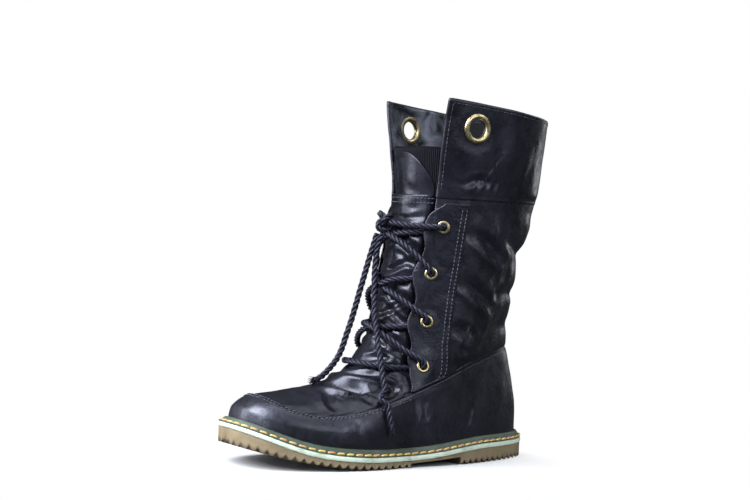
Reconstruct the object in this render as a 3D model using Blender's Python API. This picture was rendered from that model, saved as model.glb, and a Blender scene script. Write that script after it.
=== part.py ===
"""Lace-up mid-calf boot for the left foot, standing empty on its sole.

X runs along the boot with the toe at -X, the lateral side is -Y, and Z is up from the floor.
Sizes are in millimetres, and every mesh is turned into metres as it is made.
A point on the upper is given by its level (which section), its turn round the leg
(0 at the front, 180 at the back, positive on the lateral side) and its lift off the wall.
"""

from collections import namedtuple
import math

import bmesh
import bpy
import numpy as np

# Driving dimensions
MM = 0.001
FOOT_FRONT, FOOT_BACK = 267.0, 5.0  # ends of the upper where it meets the sole
RIM_BACK = -4.5
WELT_MARGIN = 6.5  # the sole shows this much round the upper
TOE_MARGIN = 9.0
TOE_SPRING = 17.5
SPRING_START = 150.0  # the sole is flat behind this place
SPRING_CURVE = 2.2
TOE_RISE = 6.2  # the outsole is this much thicker at the toe
TOE_RISE_START, TOE_RISE_RUN = 215.0, 65.0
HEEL_RISE = 6.0
HEEL_RISE_START, HEEL_RISE_RUN = 140.0, 85.0
OUTSOLE = 5.4
MIDSOLE = 3.6
WELT = 2.8
GAP = 0.3
WALL = 2.2
PANEL_STEP = 1.3  # the lower panel is this much thicker than the shaft
CUFF_STEP = 1.0
TONGUE_WALL = 1.8
FLAP_WALL = 1.4
ELASTIC_WALL = 1.2
EYESTAY_WALL = 1.5
INSOLE = 3.0
LACE = 5.0
SOLE_FRONT = FOOT_FRONT + TOE_MARGIN
X_SHIFT = (SOLE_FRONT + RIM_BACK - CUFF_STEP) / 2  # puts the middle of the boot at x = 0

# The upper's sections, from the sole up: front and back points, dip of the side line,
# half widths at ball, waist and heel, roundness, sideways bend and half turn of the throat
Section = namedtuple(
    "Section",
    "name front_u front_z back_u back_z dip ball waist heel front_round back_round bend throat",
)
SECTIONS = (
    Section("feather", FOOT_FRONT, 33.5, FOOT_BACK, 18.5, -11, 45.5, 34, 31, 2.6, 2.3, 5, 50),
    Section("wall", 264.0, 44.0, 8, 46, -15, 47.5, 36.5, 32.5, 2.7, 2.3, 5, 50),
    Section("panel seam", 249.5, 52.3, 18, 89, -20, 42, 38, 31, 3.2, 2.2, 4, 50),
    Section("apron", 226, 56, 18.5, 93.5, -16, 41, 38, 31, 2.8, 2.2, 3, 50),
    Section("vamp", 192, 62.3, 18.5, 98, -11, 41, 38.5, 31, 2.4, 2.2, 2, 50),
    Section("throat", 167, 77, 18, 106, -6, 41, 39.5, 32, 2.2, 2.2, 1, 50),
    Section("instep", 151, 102, 17, 119, -2, 41.5, 41, 34.5, 2.1, 2.2, 0, 45),
    Section("ankle", 142, 134, 15.5, 143, 0, 42, 43, 38, 2.1, 2.2, 0, 41),
    Section("shin", 136, 173, 10, 176, 0, 44, 45, 42, 2.1, 2.2, 0, 39.5),
    Section("cuff seam", 131, 212, 3, 211, 0, 45.5, 46, 44, 2.2, 2.2, 0, 42),
    Section("collar", 133, 251, -1.5, 245, 0, 46.5, 47.5, 45, 2.7, 2.3, 0, 46),
    Section("rim", 138, 290, RIM_BACK, 277, 0, 48, 48.5, 46, 3.4, 2.4, 0, 52),
)
PANEL_LEVEL = 2.0
THROAT_LEVEL = 4.7
CUFF_LEVEL = 9.0
RIM_LEVEL = len(SECTIONS) - 1.0
DIP_PEAK = 0.3  # share of the way back where the side line dips most
BALL_END, WAIST_END = 0.25, 0.55  # shares of the way back where the half width starts to change
WIDTH_RUN = 0.3

# Eyelets from the top down, and the grommet of the cuff
Seat = namedtuple("Seat", "level turn")
EYELETS = (Seat(8.35, 50.5), Seat(7.4, 48), Seat(6.3, 53), Seat(4.95, 64))
GROMMET = Seat(10.45, 69)
EYELET_HOLE, EYELET_RIM, EYELET_SIDES = 2.6, 5.2, 10
GROMMET_HOLE, GROMMET_RIM, GROMMET_SIDES = 7.5, 12.0, 16
BARREL = 0.8  # wall of the metal tube of an eyelet or grommet
FLANGE = 0.9

# Tread
TREAD_PITCH = 7.0
TREAD_LAND = 3.6
TREAD_DEPTH = 3.0
HEEL_BREAST = 88.0
TREAD_FRONT = 138.0  # the forefoot tread starts here
ARCH_HEIGHT = 6.0

# Free ends of the lace: hand-placed points down from the knot
RoutePoint = namedtuple("RoutePoint", "level turn lift")
KNOT = RoutePoint(8.42, -5, 10.1)
KNOT_SIZE = (12.0, 15.0, 13.0)
LATERAL_END = (
    RoutePoint(8.2, -1, 11.0),
    RoutePoint(7.85, 0, 10.5),
    RoutePoint(7.4, 1, 9.5),
    RoutePoint(6.95, 2, 8.8),
    RoutePoint(6.5, 4, 8.2),
    RoutePoint(6.0, 8, 8.0),
    RoutePoint(5.5, 17, 7.8),
    RoutePoint(5.0, 32, 7.4),
    RoutePoint(4.4, 48, 5.6),
    RoutePoint(3.6, 62, 4.6),
    RoutePoint(2.8, 70, 4.8),
    RoutePoint(2.1, 75, 5.4),
    RoutePoint(1.4, 79, 5.0),
    RoutePoint(0.7, 81, 5.0),
)
MEDIAL_END = (
    RoutePoint(8.17, -9, 11.5),
    RoutePoint(7.8, -10, 12.5),
    RoutePoint(7.4, -11, 13.5),
    RoutePoint(6.9, -12, 15.0),
    RoutePoint(6.4, -12, 16.0),
    RoutePoint(5.9, -12, 16.0),
    RoutePoint(5.4, -11, 14.0),
    RoutePoint(4.9, -10, 10.5),
    RoutePoint(4.4, -10, 6.0),
    RoutePoint(4.05, -10, 3.6),
    RoutePoint(3.85, -10, 3.2),
)

# Materials: colour, roughness, metallic
LEATHER = ("leather", (0.012, 0.013, 0.022), 0.28, 0.0)
ELASTIC = ("elastic", (0.010, 0.010, 0.013), 0.85, 0.0)
CORD = ("cord", (0.013, 0.014, 0.024), 0.8, 0.0)
BRASS = ("brass", (0.50, 0.37, 0.14), 0.3, 1.0)
TAN_RUBBER = ("tan_rubber", (0.36, 0.27, 0.15), 0.75, 0.0)
MINT_FOAM = ("mint_foam", (0.52, 0.66, 0.55), 0.7, 0.0)
GREEN_WELT = ("green_welt", (0.33, 0.37, 0.27), 0.7, 0.0)
BOARD = ("board", (0.20, 0.17, 0.13), 0.9, 0.0)


def smooth_step(t):
    t = min(max(t, 0.0), 1.0)
    return t * t * (3.0 - 2.0 * t)


def column_at(column, level):
    """A column of the section table at any level, on a smooth curve through the rows."""
    row = min(int(level), len(SECTIONS) - 2)
    t = level - row
    last = len(SECTIONS) - 1
    before, low, high, after = (
        getattr(SECTIONS[min(max(i, 0), last)], column) for i in range(row - 1, row + 3)
    )
    slope_low = (high - before) / (2 if row > 0 else 1)
    slope_high = (after - low) / (2 if row + 1 < last else 1)
    rise = high - low
    square = 3 * rise - 2 * slope_low - slope_high
    cube = slope_low + slope_high - 2 * rise
    return low + t * (slope_low + t * (square + t * cube))


def spring(u):
    """Height of the sole's curve over the floor."""
    return TOE_SPRING * max(0.0, (u - SPRING_START) / (SOLE_FRONT - SPRING_START)) ** SPRING_CURVE


def sole_top(u):
    """Height of the top of the welt, where the upper and the insole stand."""
    heel = HEEL_RISE * smooth_step((HEEL_RISE_START - u) / HEEL_RISE_RUN)
    toe = TOE_RISE * smooth_step((u - TOE_RISE_START) / TOE_RISE_RUN)
    return OUTSOLE + MIDSOLE + WELT + 2 * GAP + spring(u) + heel + toe


def wall_point(level, turn):
    """A point of the upper's outer wall, as u forward from the sole's back end, y and z."""
    c = math.cos(math.radians(turn))
    s = math.sin(math.radians(turn))
    power = column_at("front_round" if c > 0 else "back_round", level)
    reach = (abs(c) ** power + abs(s) ** power) ** (1.0 / power)
    back = (1.0 - c / reach) / 2
    ball, waist, heel = (column_at(name, level) for name in ("ball", "waist", "heel"))
    half = ball + (waist - ball) * smooth_step((back - BALL_END) / WIDTH_RUN)
    half += (heel - waist) * smooth_step((back - WAIST_END) / WIDTH_RUN)
    front_u, front_z = column_at("front_u", level), column_at("front_z", level)
    u = front_u + (column_at("back_u", level) - front_u) * back
    y = -half * s / reach + column_at("bend", level) * math.cos(1.6 * math.pi * back)
    sink = (back / DIP_PEAK) ** 0.9 * ((1.0 - back) / (1.0 - DIP_PEAK)) ** 2.6
    z = front_z + (column_at("back_z", level) - front_z) * back + column_at("dip", level) * sink
    on_sole = 1.0 - min(level, 1.0)
    return np.array((u, y, z + on_sole * (sole_top(u) + GAP - z)))


def wall_normal(level, turn):
    low, high = max(level - 0.02, 0.0), min(level + 0.02, RIM_LEVEL)
    up = wall_point(high, turn) - wall_point(low, turn)
    round_leg = wall_point(level, turn + 0.5) - wall_point(level, turn - 0.5)
    normal = np.cross(up, round_leg)
    return normal / np.linalg.norm(normal)


def on_upper(level, turn, lift=0.0):
    return wall_point(level, turn) + lift * wall_normal(level, turn)


def to_world(point):
    return ((X_SHIFT - point[0]) * MM, point[1] * MM, point[2] * MM)


def material(values):
    name, colour, roughness, metallic = values
    made = bpy.data.materials.get(name)
    if made is None:
        made = bpy.data.materials.new(name)
        made.use_nodes = True
        shader = made.node_tree.nodes["Principled BSDF"]
        shader.inputs["Base Color"].default_value = (*colour, 1.0)
        shader.inputs["Roughness"].default_value = roughness
        shader.inputs["Metallic"].default_value = metallic
    return made


def add_mesh(name, points, faces, finish=None):
    """One object from points in the boot's own sizes; its faces are turned to point out."""
    mesh = bpy.data.meshes.new(name)
    mesh.from_pydata([to_world(p) for p in points], [], faces)
    shape = bmesh.new()
    shape.from_mesh(mesh)
    bmesh.ops.recalc_face_normals(shape, faces=shape.faces)
    shape.to_mesh(mesh)
    shape.free()
    mesh.shade_smooth()
    mesh.set_sharp_from_angle(angle=math.radians(40))
    made = bpy.data.objects.new(name, mesh)
    bpy.context.scene.collection.objects.link(made)
    if finish:
        mesh.materials.append(material(finish))
    else:
        made.hide_render = True
        made.display_type = "WIRE"
    return made


def cut(target, cutter, operation="DIFFERENCE"):
    modifier = target.modifiers.new("cut", "BOOLEAN")
    modifier.operation = operation
    modifier.object = cutter


def sheet(name, rows, skip, finish, closed=False):
    """A wall from rows of (outer, inner) point pairs; skip(row, column) leaves a cell open."""
    count = len(rows[0])
    outer = [pair[0] for row in rows for pair in row]
    inner = [pair[1] for row in rows for pair in row]
    cells = []
    for i in range(len(rows) - 1):
        for j in range(count if closed else count - 1):
            k = (j + 1) % count
            if not skip(i, j):
                cells.append((i * count + j, i * count + k, (i + 1) * count + k, (i + 1) * count + j))
    edges = {(cell[i], cell[(i + 1) % 4]) for cell in cells for i in range(4)}
    deep = len(outer)
    faces = cells + [tuple(deep + v for v in reversed(cell)) for cell in cells]
    faces += [(b, a, deep + a, deep + b) for a, b in edges if (b, a) not in edges]
    used = sorted({v for face in faces for v in face})
    place = {v: i for i, v in enumerate(used)}
    both = outer + inner
    return add_mesh(name, [both[v] for v in used], [tuple(place[v] for v in f) for f in faces], finish)


def patch(name, levels, turns, outer, inner, finish):
    """A sheet over part of the upper: turns(level) gives a row, outer and inner give lifts."""
    rows = []
    for level in levels:
        row = [(level, turn) for turn in turns(level)]
        rows.append([(on_upper(*at, outer(*at)), on_upper(*at, inner(*at))) for at in row])
    return sheet(name, rows, lambda i, j: False, finish)


def stack(name, loops, finish):
    """A solid through closed loops of points; its two ends are closed across."""
    count = len(loops[0])
    points = [p for loop in loops for p in loop]
    faces = []
    for i in range(len(loops) - 1):
        for j in range(count):
            k = (j + 1) % count
            faces.append((i * count + j, i * count + k, (i + 1) * count + k, (i + 1) * count + j))
    for base in (0, (len(loops) - 1) * count):
        for j in range(count // 2):
            ends = (j, j + 1, count - j - 1, (count - j) % count)
            faces.append(tuple(dict.fromkeys(base + v for v in ends)))
    faces = [face for face in faces if len(face) > 2]
    return add_mesh(name, points, faces, finish)


def ring(name, loops, finish):
    """A solid ring through loops of points, the last one joined to the first."""
    count = len(loops[0])
    points = [p for loop in loops for p in loop]
    faces = []
    for i in range(len(loops)):
        n = (i + 1) % len(loops)
        for j in range(count):
            k = (j + 1) % count
            faces.append((i * count + j, i * count + k, n * count + k, n * count + j))
    return add_mesh(name, points, faces, finish)


def circle(seat, side, lift, radius, sides):
    """Points round a seat's axis at a lift off the wall."""
    centre = on_upper(seat.level, side * seat.turn)
    axis = wall_normal(seat.level, side * seat.turn)
    across = np.cross(axis, (0.0, 0.0, 1.0))
    across /= np.linalg.norm(across)
    upright = np.cross(across, axis)
    angles = [2 * math.pi * i / sides for i in range(sides)]
    return [centre + lift * axis + radius * (math.cos(a) * across + math.sin(a) * upright) for a in angles]


def hole_cutters(name, holes):
    """One cutter object with a plug for each (seat, side, radius, depth, sides)."""
    points, faces = [], []
    for seat, side, radius, depth, sides in holes:
        base = len(points)
        points += circle(seat, side, -depth, radius, sides) + circle(seat, side, depth, radius, sides)
        for j in range(sides):
            k = (j + 1) % sides
            faces.append((base + j, base + k, base + sides + k, base + sides + j))
        faces.append(tuple(base + j for j in range(sides)))
        faces.append(tuple(base + sides + j for j in range(sides)))
    return add_mesh(name, points, faces)


# Sole: outsole, midsole, welt and insole share the outline of the upper's lowest section
OUTLINE_POINTS = 52


def outline(margin, height, turns=None):
    """A loop round the sole, set out from the upper's lowest section by a margin."""
    loop = []
    for turn in turns or [360.0 * i / OUTLINE_POINTS for i in range(OUTLINE_POINTS)]:
        along = wall_point(0.0, turn + 0.5) - wall_point(0.0, turn - 0.5)
        out = np.array((-along[1], along[0])) / math.hypot(along[0], along[1])
        toe = max(0.0, math.cos(math.radians(turn))) ** 2 * (TOE_MARGIN - WELT_MARGIN) / WELT_MARGIN
        u, y = wall_point(0.0, turn)[:2] + margin * (1.0 + toe if margin > 0 else 1.0) * out
        loop.append(np.array((u, y, height(u))))
    return loop


def tread(u):
    """Height of the outsole's underside: tread under heel and forefoot, a plain arch between."""
    if HEEL_BREAST < u < TREAD_FRONT:
        along = (u - HEEL_BREAST) / (TREAD_FRONT - HEEL_BREAST)
        return ARCH_HEIGHT + (TREAD_DEPTH - ARCH_HEIGHT) * along
    start = HEEL_BREAST - u if u <= HEEL_BREAST else u - TREAD_FRONT
    beyond = start % TREAD_PITCH - TREAD_LAND
    notch = TREAD_PITCH - TREAD_LAND
    depth = TREAD_DEPTH * (1.0 - abs(2.0 * beyond / notch - 1.0)) if beyond > 0 else 0.0
    return spring(u) + depth


def build_outsole():
    inset = 0.6  # the outsole is this much narrower than the midsole all round
    under = 0.988  # the tread is this share of the width at the top
    edge = outline(WELT_MARGIN - inset, sole_top, [0.5 * i for i in range(720)])
    half = len(edge) // 2
    lateral = sorted((p[0], p[1]) for p in edge[: half + 1])
    medial = sorted((p[0], p[1]) for p in edge[half:] + edge[:1])
    back, front = lateral[0][0], lateral[-1][0]
    step = 0.4  # run of the heel breast and of the forefoot's first edge
    clear = 2.5  # no tread notch comes nearer to the ends
    stations = [HEEL_BREAST - 0.01, HEEL_BREAST + step, TREAD_FRONT - step, TREAD_FRONT + 0.01]
    stations += [HEEL_BREAST + (TREAD_FRONT - HEEL_BREAST) * i / 4 for i in (1, 2, 3)]
    corner = TREAD_LAND + (TREAD_PITCH - TREAD_LAND) / 2
    for k in range(int(SOLE_FRONT / TREAD_PITCH)):
        for offset in (0.0, TREAD_LAND, corner):
            heel = HEEL_BREAST - k * TREAD_PITCH - offset
            fore = TREAD_FRONT + k * TREAD_PITCH + offset
            stations += [heel] if clear < heel - back and k + offset > 0 else []
            stations += [fore] if clear < front - fore and k + offset > 0 else []
    for away in (0.12, 0.7, 1.6):
        stations += [back + away, front - away]
    stations.sort()
    rows = []
    for u in stations:
        right, left = (np.interp(u, *zip(*side)) for side in (lateral, medial))
        low, high = tread(u), sole_top(u) - WELT - MIDSOLE - 2 * GAP
        rows.append([(u, right * under, low), (u, left * under, low), (u, left, high), (u, right, high)])
    points = [np.array(p) for row in rows for p in row]
    faces = [(0, 1, 2, 3), tuple(4 * (len(rows) - 1) + j for j in range(4))]
    for i in range(len(rows) - 1):
        for j in range(4):
            k = (j + 1) % 4
            faces.append((4 * i + j, 4 * i + k, 4 * i + 4 + k, 4 * i + 4 + j))
    return add_mesh("outsole", points, faces, TAN_RUBBER)


def build_sole():
    build_outsole()
    centre = -6.5  # the midsole's raised centre and the welt meet this far inside the upper's edge
    top = lambda drop: lambda u: sole_top(u) - drop
    stack(
        "midsole",
        [
            outline(WELT_MARGIN - 0.3, top(WELT + MIDSOLE + GAP)),
            outline(WELT_MARGIN, top(WELT + MIDSOLE * 0.7 + GAP)),
            outline(WELT_MARGIN, top(WELT + MIDSOLE * 0.3 + GAP)),
            outline(WELT_MARGIN - 0.3, top(WELT + GAP)),
            outline(centre - GAP, top(WELT + GAP)),
            outline(centre - GAP, top(0.0)),
        ],
        MINT_FOAM,
    )
    ring(
        "welt",
        [
            outline(centre, top(WELT)),
            outline(WELT_MARGIN - 0.4, top(WELT)),
            outline(WELT_MARGIN - 0.4, top(WELT - 1.1)),
            outline(PANEL_STEP + 0.6, top(0.0)),
            outline(centre, top(0.0)),
        ],
        GREEN_WELT,
    )
    inside = -(WALL + 1.2)
    stack(
        "insole",
        [outline(inside, top(-GAP)), outline(inside, top(-GAP - INSOLE))],
        BOARD,
    )


# Upper: one wall from the sole to the rim, open below, at the throat and at the collar
THROAT_CELLS = 8
SIDE_CELLS = 16


def turns_round(level):
    """Turns of one ring of the upper; the first and last of the throat's cells keep its edges."""
    throat = column_at("throat", level)
    front = [throat * (2.0 * i / THROAT_CELLS - 1.0) for i in range(THROAT_CELLS + 1)]
    side = [throat + (180.0 - throat) * i / SIDE_CELLS for i in range(1, SIDE_CELLS + 1)]
    return front + side + [360.0 - t for t in reversed(side[:-1])]


def outer_lift(level):
    if level < PANEL_LEVEL:
        return PANEL_STEP
    return CUFF_STEP if level > CUFF_LEVEL else 0.0


def build_upper():
    edge = 0.012  # half the run of a step in the wall, in levels
    levels = [0, 0.5, 1, 1.5, PANEL_LEVEL - edge, PANEL_LEVEL + edge, 2.5, 3, 3.5, 4, THROAT_LEVEL]
    levels += [5.1, 5.5, 6, 6.5, 7.1, 7.75, 8.4, CUFF_LEVEL - edge, CUFF_LEVEL + edge]
    levels += [9.5, 10, 10.5, RIM_LEVEL]
    foot = lambda margin: outline(margin, lambda u: sole_top(u) + GAP, turns_round(0.0))
    rows = [list(zip(foot(PANEL_STEP), foot(-WALL)))]
    for level in levels[1:]:
        lift = outer_lift(level)
        rows.append([(on_upper(level, t, lift), on_upper(level, t, -WALL)) for t in turns_round(level)])
    skip = lambda i, j: levels[i] >= THROAT_LEVEL and j < THROAT_CELLS
    upper = sheet("upper", rows, skip, LEATHER, closed=True)
    holes = []
    for side in (1, -1):
        holes += [(seat, side, EYELET_HOLE + BARREL + GAP, 8, EYELET_SIDES) for seat in EYELETS]
        holes.append((GROMMET, side, GROMMET_HOLE + BARREL + GAP, 8, GROMMET_SIDES))
    cut(upper, hole_cutters("upper_holes", holes))


# Tongue, flap and elastic fill the throat, one behind the other
TONGUE_LIFT = -WALL - GAP
FLAP_LIFT = TONGUE_LIFT - TONGUE_WALL - GAP
ELASTIC_LIFT = FLAP_LIFT - FLAP_WALL - GAP


def build_tongue():
    behind = 8.0  # turn that the tongue and the elastic reach behind the upper's edges
    spread = lambda half, cells: [half * (2.0 * i / cells - 1.0) for i in range(cells + 1)]
    patch(
        "tongue",
        [4.3, 4.7, 5.1, 5.5, 6, 6.5, 7, 7.5, 8, 8.5, 8.98],
        lambda level: spread(column_at("throat", level) + behind, 10),
        lambda level, turn: TONGUE_LIFT,
        lambda level, turn: TONGUE_LIFT - TONGUE_WALL,
        LEATHER,
    )
    half, low, corner, top = 38.0, 8.72, 9.12, 9.84  # the flap's half turn, and its levels
    cells = 5
    rows = []
    for i in range(cells + 1):
        row = []
        for turn in spread(half, 2 * cells):
            edge = corner + (top - corner) * math.sqrt(max(0.0, 1.0 - (turn / half) ** 2))
            level = low + (edge - low) * i / cells
            row.append((on_upper(level, turn, FLAP_LIFT), on_upper(level, turn, FLAP_LIFT - FLAP_WALL)))
        rows.append(row)
    sheet("tongue_flap", rows, lambda i, j: False, LEATHER)

    past_flap = 43.0  # from this turn on, the elastic comes forward to the upper

    def elastic_lift(level, turn):
        return ELASTIC_LIFT + (TONGUE_LIFT - ELASTIC_LIFT) * smooth_step((abs(turn) - past_flap) / 7.0)

    patch(
        "elastic_gusset",
        [9.04, 9.35, 9.65, 9.95],
        lambda level: spread(column_at("throat", level) + behind, 16),
        elastic_lift,
        lambda level, turn: elastic_lift(level, turn) - ELASTIC_WALL,
        ELASTIC,
    )


# Eyestays: overlays with a lobe round each eyelet, and their eyelets
LOBE_CELLS = 6
LOBE_REACH, LOBE_DEPTH = 12.5, 2.5  # turn from the eyelets to the wavy front edge, and its wave
EYESTAY_BACK = ((5.0, 78.0), (7.0, 64.5), (8.8, 61.5))  # level and turn of the back edge
EYESTAY_LIFT = 1.6 * GAP
EYESTAY_TOP = EYESTAY_LIFT + EYESTAY_WALL


def eyestay_edges(level):
    """Front and back turn of the eyestay at a level."""
    levels = [seat.level for seat in reversed(EYELETS)]
    turns = [seat.turn for seat in reversed(EYELETS)]
    lobe = np.interp(level, levels, range(len(levels)))
    lobe += (level - levels[-1]) if level > levels[-1] else 0.0
    front = np.interp(level, levels, turns) - LOBE_REACH - LOBE_DEPTH * math.cos(2 * math.pi * lobe)
    back = np.interp(level, *zip(*EYESTAY_BACK))
    return front, back


def build_eyestay(name, side):
    low, high = 4.6, 8.8
    levels = [low, (low + EYELETS[-1].level) / 2]
    for upper_seat, lower_seat in zip(reversed(EYELETS[:-1]), reversed(EYELETS[1:])):
        span = upper_seat.level - lower_seat.level
        levels += [lower_seat.level + span * i / LOBE_CELLS for i in range(LOBE_CELLS)]
    levels += [EYELETS[0].level, (EYELETS[0].level + high) / 2, high]

    def turns(level):
        front, back = eyestay_edges(level)
        return [side * (front + (back - front) * i / 3) for i in range(4)]

    stay = patch(
        name, levels, turns, lambda level, turn: EYESTAY_TOP, lambda level, turn: EYESTAY_LIFT, LEATHER
    )
    holes = [(seat, side, EYELET_HOLE + BARREL + GAP, 8, EYELET_SIDES) for seat in EYELETS]
    cut(stay, hole_cutters(name + "_holes", holes))


def build_metal():
    for side, word in ((1, "lateral"), (-1, "medial")):
        build_eyestay("eyestay_" + word, side)
        for number, seat in enumerate(EYELETS, 1):
            rise = EYESTAY_TOP + GAP
            tube = EYELET_HOLE + BARREL
            profile = ((-WALL, EYELET_HOLE), (-WALL, tube), (rise, tube), (rise, EYELET_RIM))
            profile += ((rise + FLANGE, tube + 0.6), (rise + FLANGE * 0.6, EYELET_HOLE))
            loops = [circle(seat, side, lift, radius, EYELET_SIDES) for lift, radius in profile]
            ring(f"eyelet_{word}_{number}", loops, BRASS)
        out, back = CUFF_STEP + 3 * GAP, -WALL - 3 * GAP
        tube = GROMMET_HOLE + BARREL
        crown = out + 2 * FLANGE
        washer = GROMMET_RIM - 1.0
        profile = ((back, tube), (out, tube), (out, GROMMET_RIM), (out + 0.6, GROMMET_RIM))
        profile += ((crown, tube + 1.8), (out + FLANGE, GROMMET_HOLE))
        profile += ((back - FLANGE, GROMMET_HOLE), (back - FLANGE, washer), (back, washer))
        loops = [circle(GROMMET, side, lift, radius, GROMMET_SIDES) for lift, radius in profile]
        ring("grommet_" + word, loops, BRASS)


# Lace: bars and crossings over the tongue, then the knot and two free ends
LACE_SIDES = 8
OVER = EYESTAY_TOP + LACE / 2 + 0.7  # lift of a lace that lies on an eyestay
ACROSS = 1.6  # lift of a lace in the middle of the throat
CLIMB = 2.3  # how steeply a crossing leaves the lower eyelet


def tube(name, path, finish):
    """A round cord through points."""
    path = np.array(path)
    side = np.array((0.0, 0.0, 1.0))
    points, faces = [], []
    for i, here in enumerate(path):
        along = path[min(i + 1, len(path) - 1)] - path[max(i - 1, 0)]
        along /= np.linalg.norm(along)
        side = side - (side @ along) * along
        side /= np.linalg.norm(side)
        other = np.cross(along, side)
        for k in range(LACE_SIDES):
            a = 2 * math.pi * k / LACE_SIDES
            points.append(here + LACE / 2 * (math.cos(a) * side + math.sin(a) * other))
    for i in range(len(path) - 1):
        for k in range(LACE_SIDES):
            n = (k + 1) % LACE_SIDES
            row = i * LACE_SIDES
            faces.append((row + k, row + n, row + LACE_SIDES + n, row + LACE_SIDES + k))
    faces.append(tuple(range(LACE_SIDES)))
    faces.append(tuple(len(points) - LACE_SIDES + k for k in range(LACE_SIDES)))
    return add_mesh(name, points, faces, finish)


def lace_path(start, finish, start_lift, finish_lift, count=9):
    """Points over the throat from one (level, turn) to another, steep at first, lowest in the middle."""
    path = []
    for i in range(count):
        t = i / (count - 1)
        level = start[0] + (finish[0] - start[0]) * (1.0 - (1.0 - t) ** CLIMB)
        turn = start[1] + (finish[1] - start[1]) * t
        ends = start_lift * (1.0 - t) + finish_lift * t
        path.append(on_upper(level, turn, ACROSS + (ends - ACROSS) * smooth_step(abs(2.0 * t - 1.0))))
    return path


def build_lace():
    clear = 8.0  # turn between an eyelet's middle and the start of the lace in front of it
    hidden = 9.0  # turn between an eyestay's edge and the lace that comes out from under it
    rise = 0.12  # levels between an eyelet and the end of a crossing there
    lift = 0.05  # levels from the lowest eyelets up to the bar that joins them
    lowest, top = EYELETS[-1], EYELETS[0]
    low_level = lowest.level + lift
    low_turn = eyestay_edges(lowest.level)[0] - hidden
    low_path = lace_path((low_level, low_turn), (low_level, -low_turn), ACROSS, ACROSS, 11)
    tube("lace_bar_bottom", low_path, CORD)
    top_turn = top.turn - clear
    top_path = lace_path((top.level, top_turn), (top.level, -top_turn), OVER, OVER, 11)
    tube("lace_bar_top", top_path, CORD)
    for number, (upper_seat, lower_seat) in enumerate(zip(EYELETS, EYELETS[1:]), 1):
        bars = []
        for side in (1, -1):
            start = (lower_seat.level + rise, side * (lower_seat.turn - clear))
            under = eyestay_edges(upper_seat.level - rise)[0] - hidden
            finish = (upper_seat.level - rise, -side * under)
            name = f"lace_crossing_{number}" if side == 1 else f"lace_crossing_{number}_other"
            bars.append(tube(name, lace_path(start, finish, OVER, ACROSS), CORD if side == 1 else None))
        cut(bars[0], bars[1], "UNION")


def build_knot():
    knot = on_upper(*KNOT)
    loops = []
    rings, sides = 5, 10
    for i in range(rings + 1):
        polar = math.pi * (0.06 + 0.88 * i / rings)
        loop = []
        for k in range(sides):
            a = 2 * math.pi * k / sides
            unit = (math.sin(polar) * math.cos(a), math.sin(polar) * math.sin(a), math.cos(polar))
            loop.append(knot + np.array(unit) * KNOT_SIZE / 2)
        loops.append(loop)
    stack("lace_knot", loops, CORD)
    for name, route in (("lace_end_lateral", LATERAL_END), ("lace_end_medial", MEDIAL_END)):
        curve = bpy.data.curves.new(name, "CURVE")
        curve.dimensions = "3D"
        curve.bevel_depth = LACE / 2 * MM
        curve.bevel_resolution = 2
        curve.use_fill_caps = True
        path = [on_upper(*point) for point in route]
        line = curve.splines.new("POLY")
        line.points.add(len(path) - 1)
        for spot, place in zip(line.points, path):
            spot.co = (*to_world(place), 1.0)
        curve.materials.append(material(CORD))
        bpy.context.scene.collection.objects.link(bpy.data.objects.new(name, curve))


for old in list(bpy.data.objects):
    bpy.data.objects.remove(old)
build_sole()
build_upper()
build_tongue()
build_metal()
build_lace()
build_knot()
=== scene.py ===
"""Lace-up mid-calf boot in glossy blue-black leather, for the left foot, standing on its sole.

Sizes are in millimetres in the boot's own frame: the toe is at -X, the lateral side at -Y, Z is up.
"""

import math
from collections import namedtuple

import bpy
import numpy as np
from mathutils import Matrix, Vector, noise


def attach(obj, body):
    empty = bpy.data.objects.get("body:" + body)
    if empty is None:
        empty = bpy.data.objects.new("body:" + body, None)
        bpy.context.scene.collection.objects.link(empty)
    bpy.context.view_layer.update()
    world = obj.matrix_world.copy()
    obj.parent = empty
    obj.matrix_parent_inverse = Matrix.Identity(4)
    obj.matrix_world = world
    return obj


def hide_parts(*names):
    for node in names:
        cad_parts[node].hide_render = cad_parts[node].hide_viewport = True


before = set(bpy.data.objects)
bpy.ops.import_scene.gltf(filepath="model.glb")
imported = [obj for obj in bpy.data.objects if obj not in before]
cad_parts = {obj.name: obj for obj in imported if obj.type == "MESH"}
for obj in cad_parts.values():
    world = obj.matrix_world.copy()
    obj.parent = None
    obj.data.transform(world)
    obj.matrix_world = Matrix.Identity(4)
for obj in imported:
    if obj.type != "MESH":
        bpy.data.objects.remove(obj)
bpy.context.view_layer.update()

# Studio: a white paper sweep under a large softbox at the upper left and a dim one overhead, with cards at
# the left, in front and at the right, a strip light behind and a dim sky. The camera stands and rolls as it
# did for the photo.
CAMERA_AT = Vector((-0.74475, -1.0757, 0.1923))
CAMERA_RIGHT = Vector((0.82749, -0.55919, 0.05061))
CAMERA_UP = Vector((-0.03081, 0.04478, 0.99852))
FOCAL_PIXELS = 1645.0
PHOTO_WIDTH = 750.0
SENSOR = 36.0
BOOT_MIDDLE = Vector((0.0, 0.0, 0.14))
SKY_COLOUR = (0.9, 0.94, 1.0, 1.0)
SKY_BRIGHT_SIDE = (-0.5, -0.1, 0.86)
SKY_EDGE, SKY_DIM, SKY_BRIGHT = 0.1, 0.07, 0.5
SWEEP_RADIUS = 6.0
SWEEP_SIDES = 64
WHITE = (1.0, 1.0, 1.0, 1.0)
PAPER_GREY = (0.56, 0.565, 0.58, 1.0)
PAPER_MIDDLE = (-0.04, 0.0, 0.0)
PAPER_SHADED, PAPER_BURNT_OUT = 0.12, 0.19  # distances between which the paper turns to plain white
BACKDROP_ROWS, BACKDROP_STEP = 11, 0.15

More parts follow.
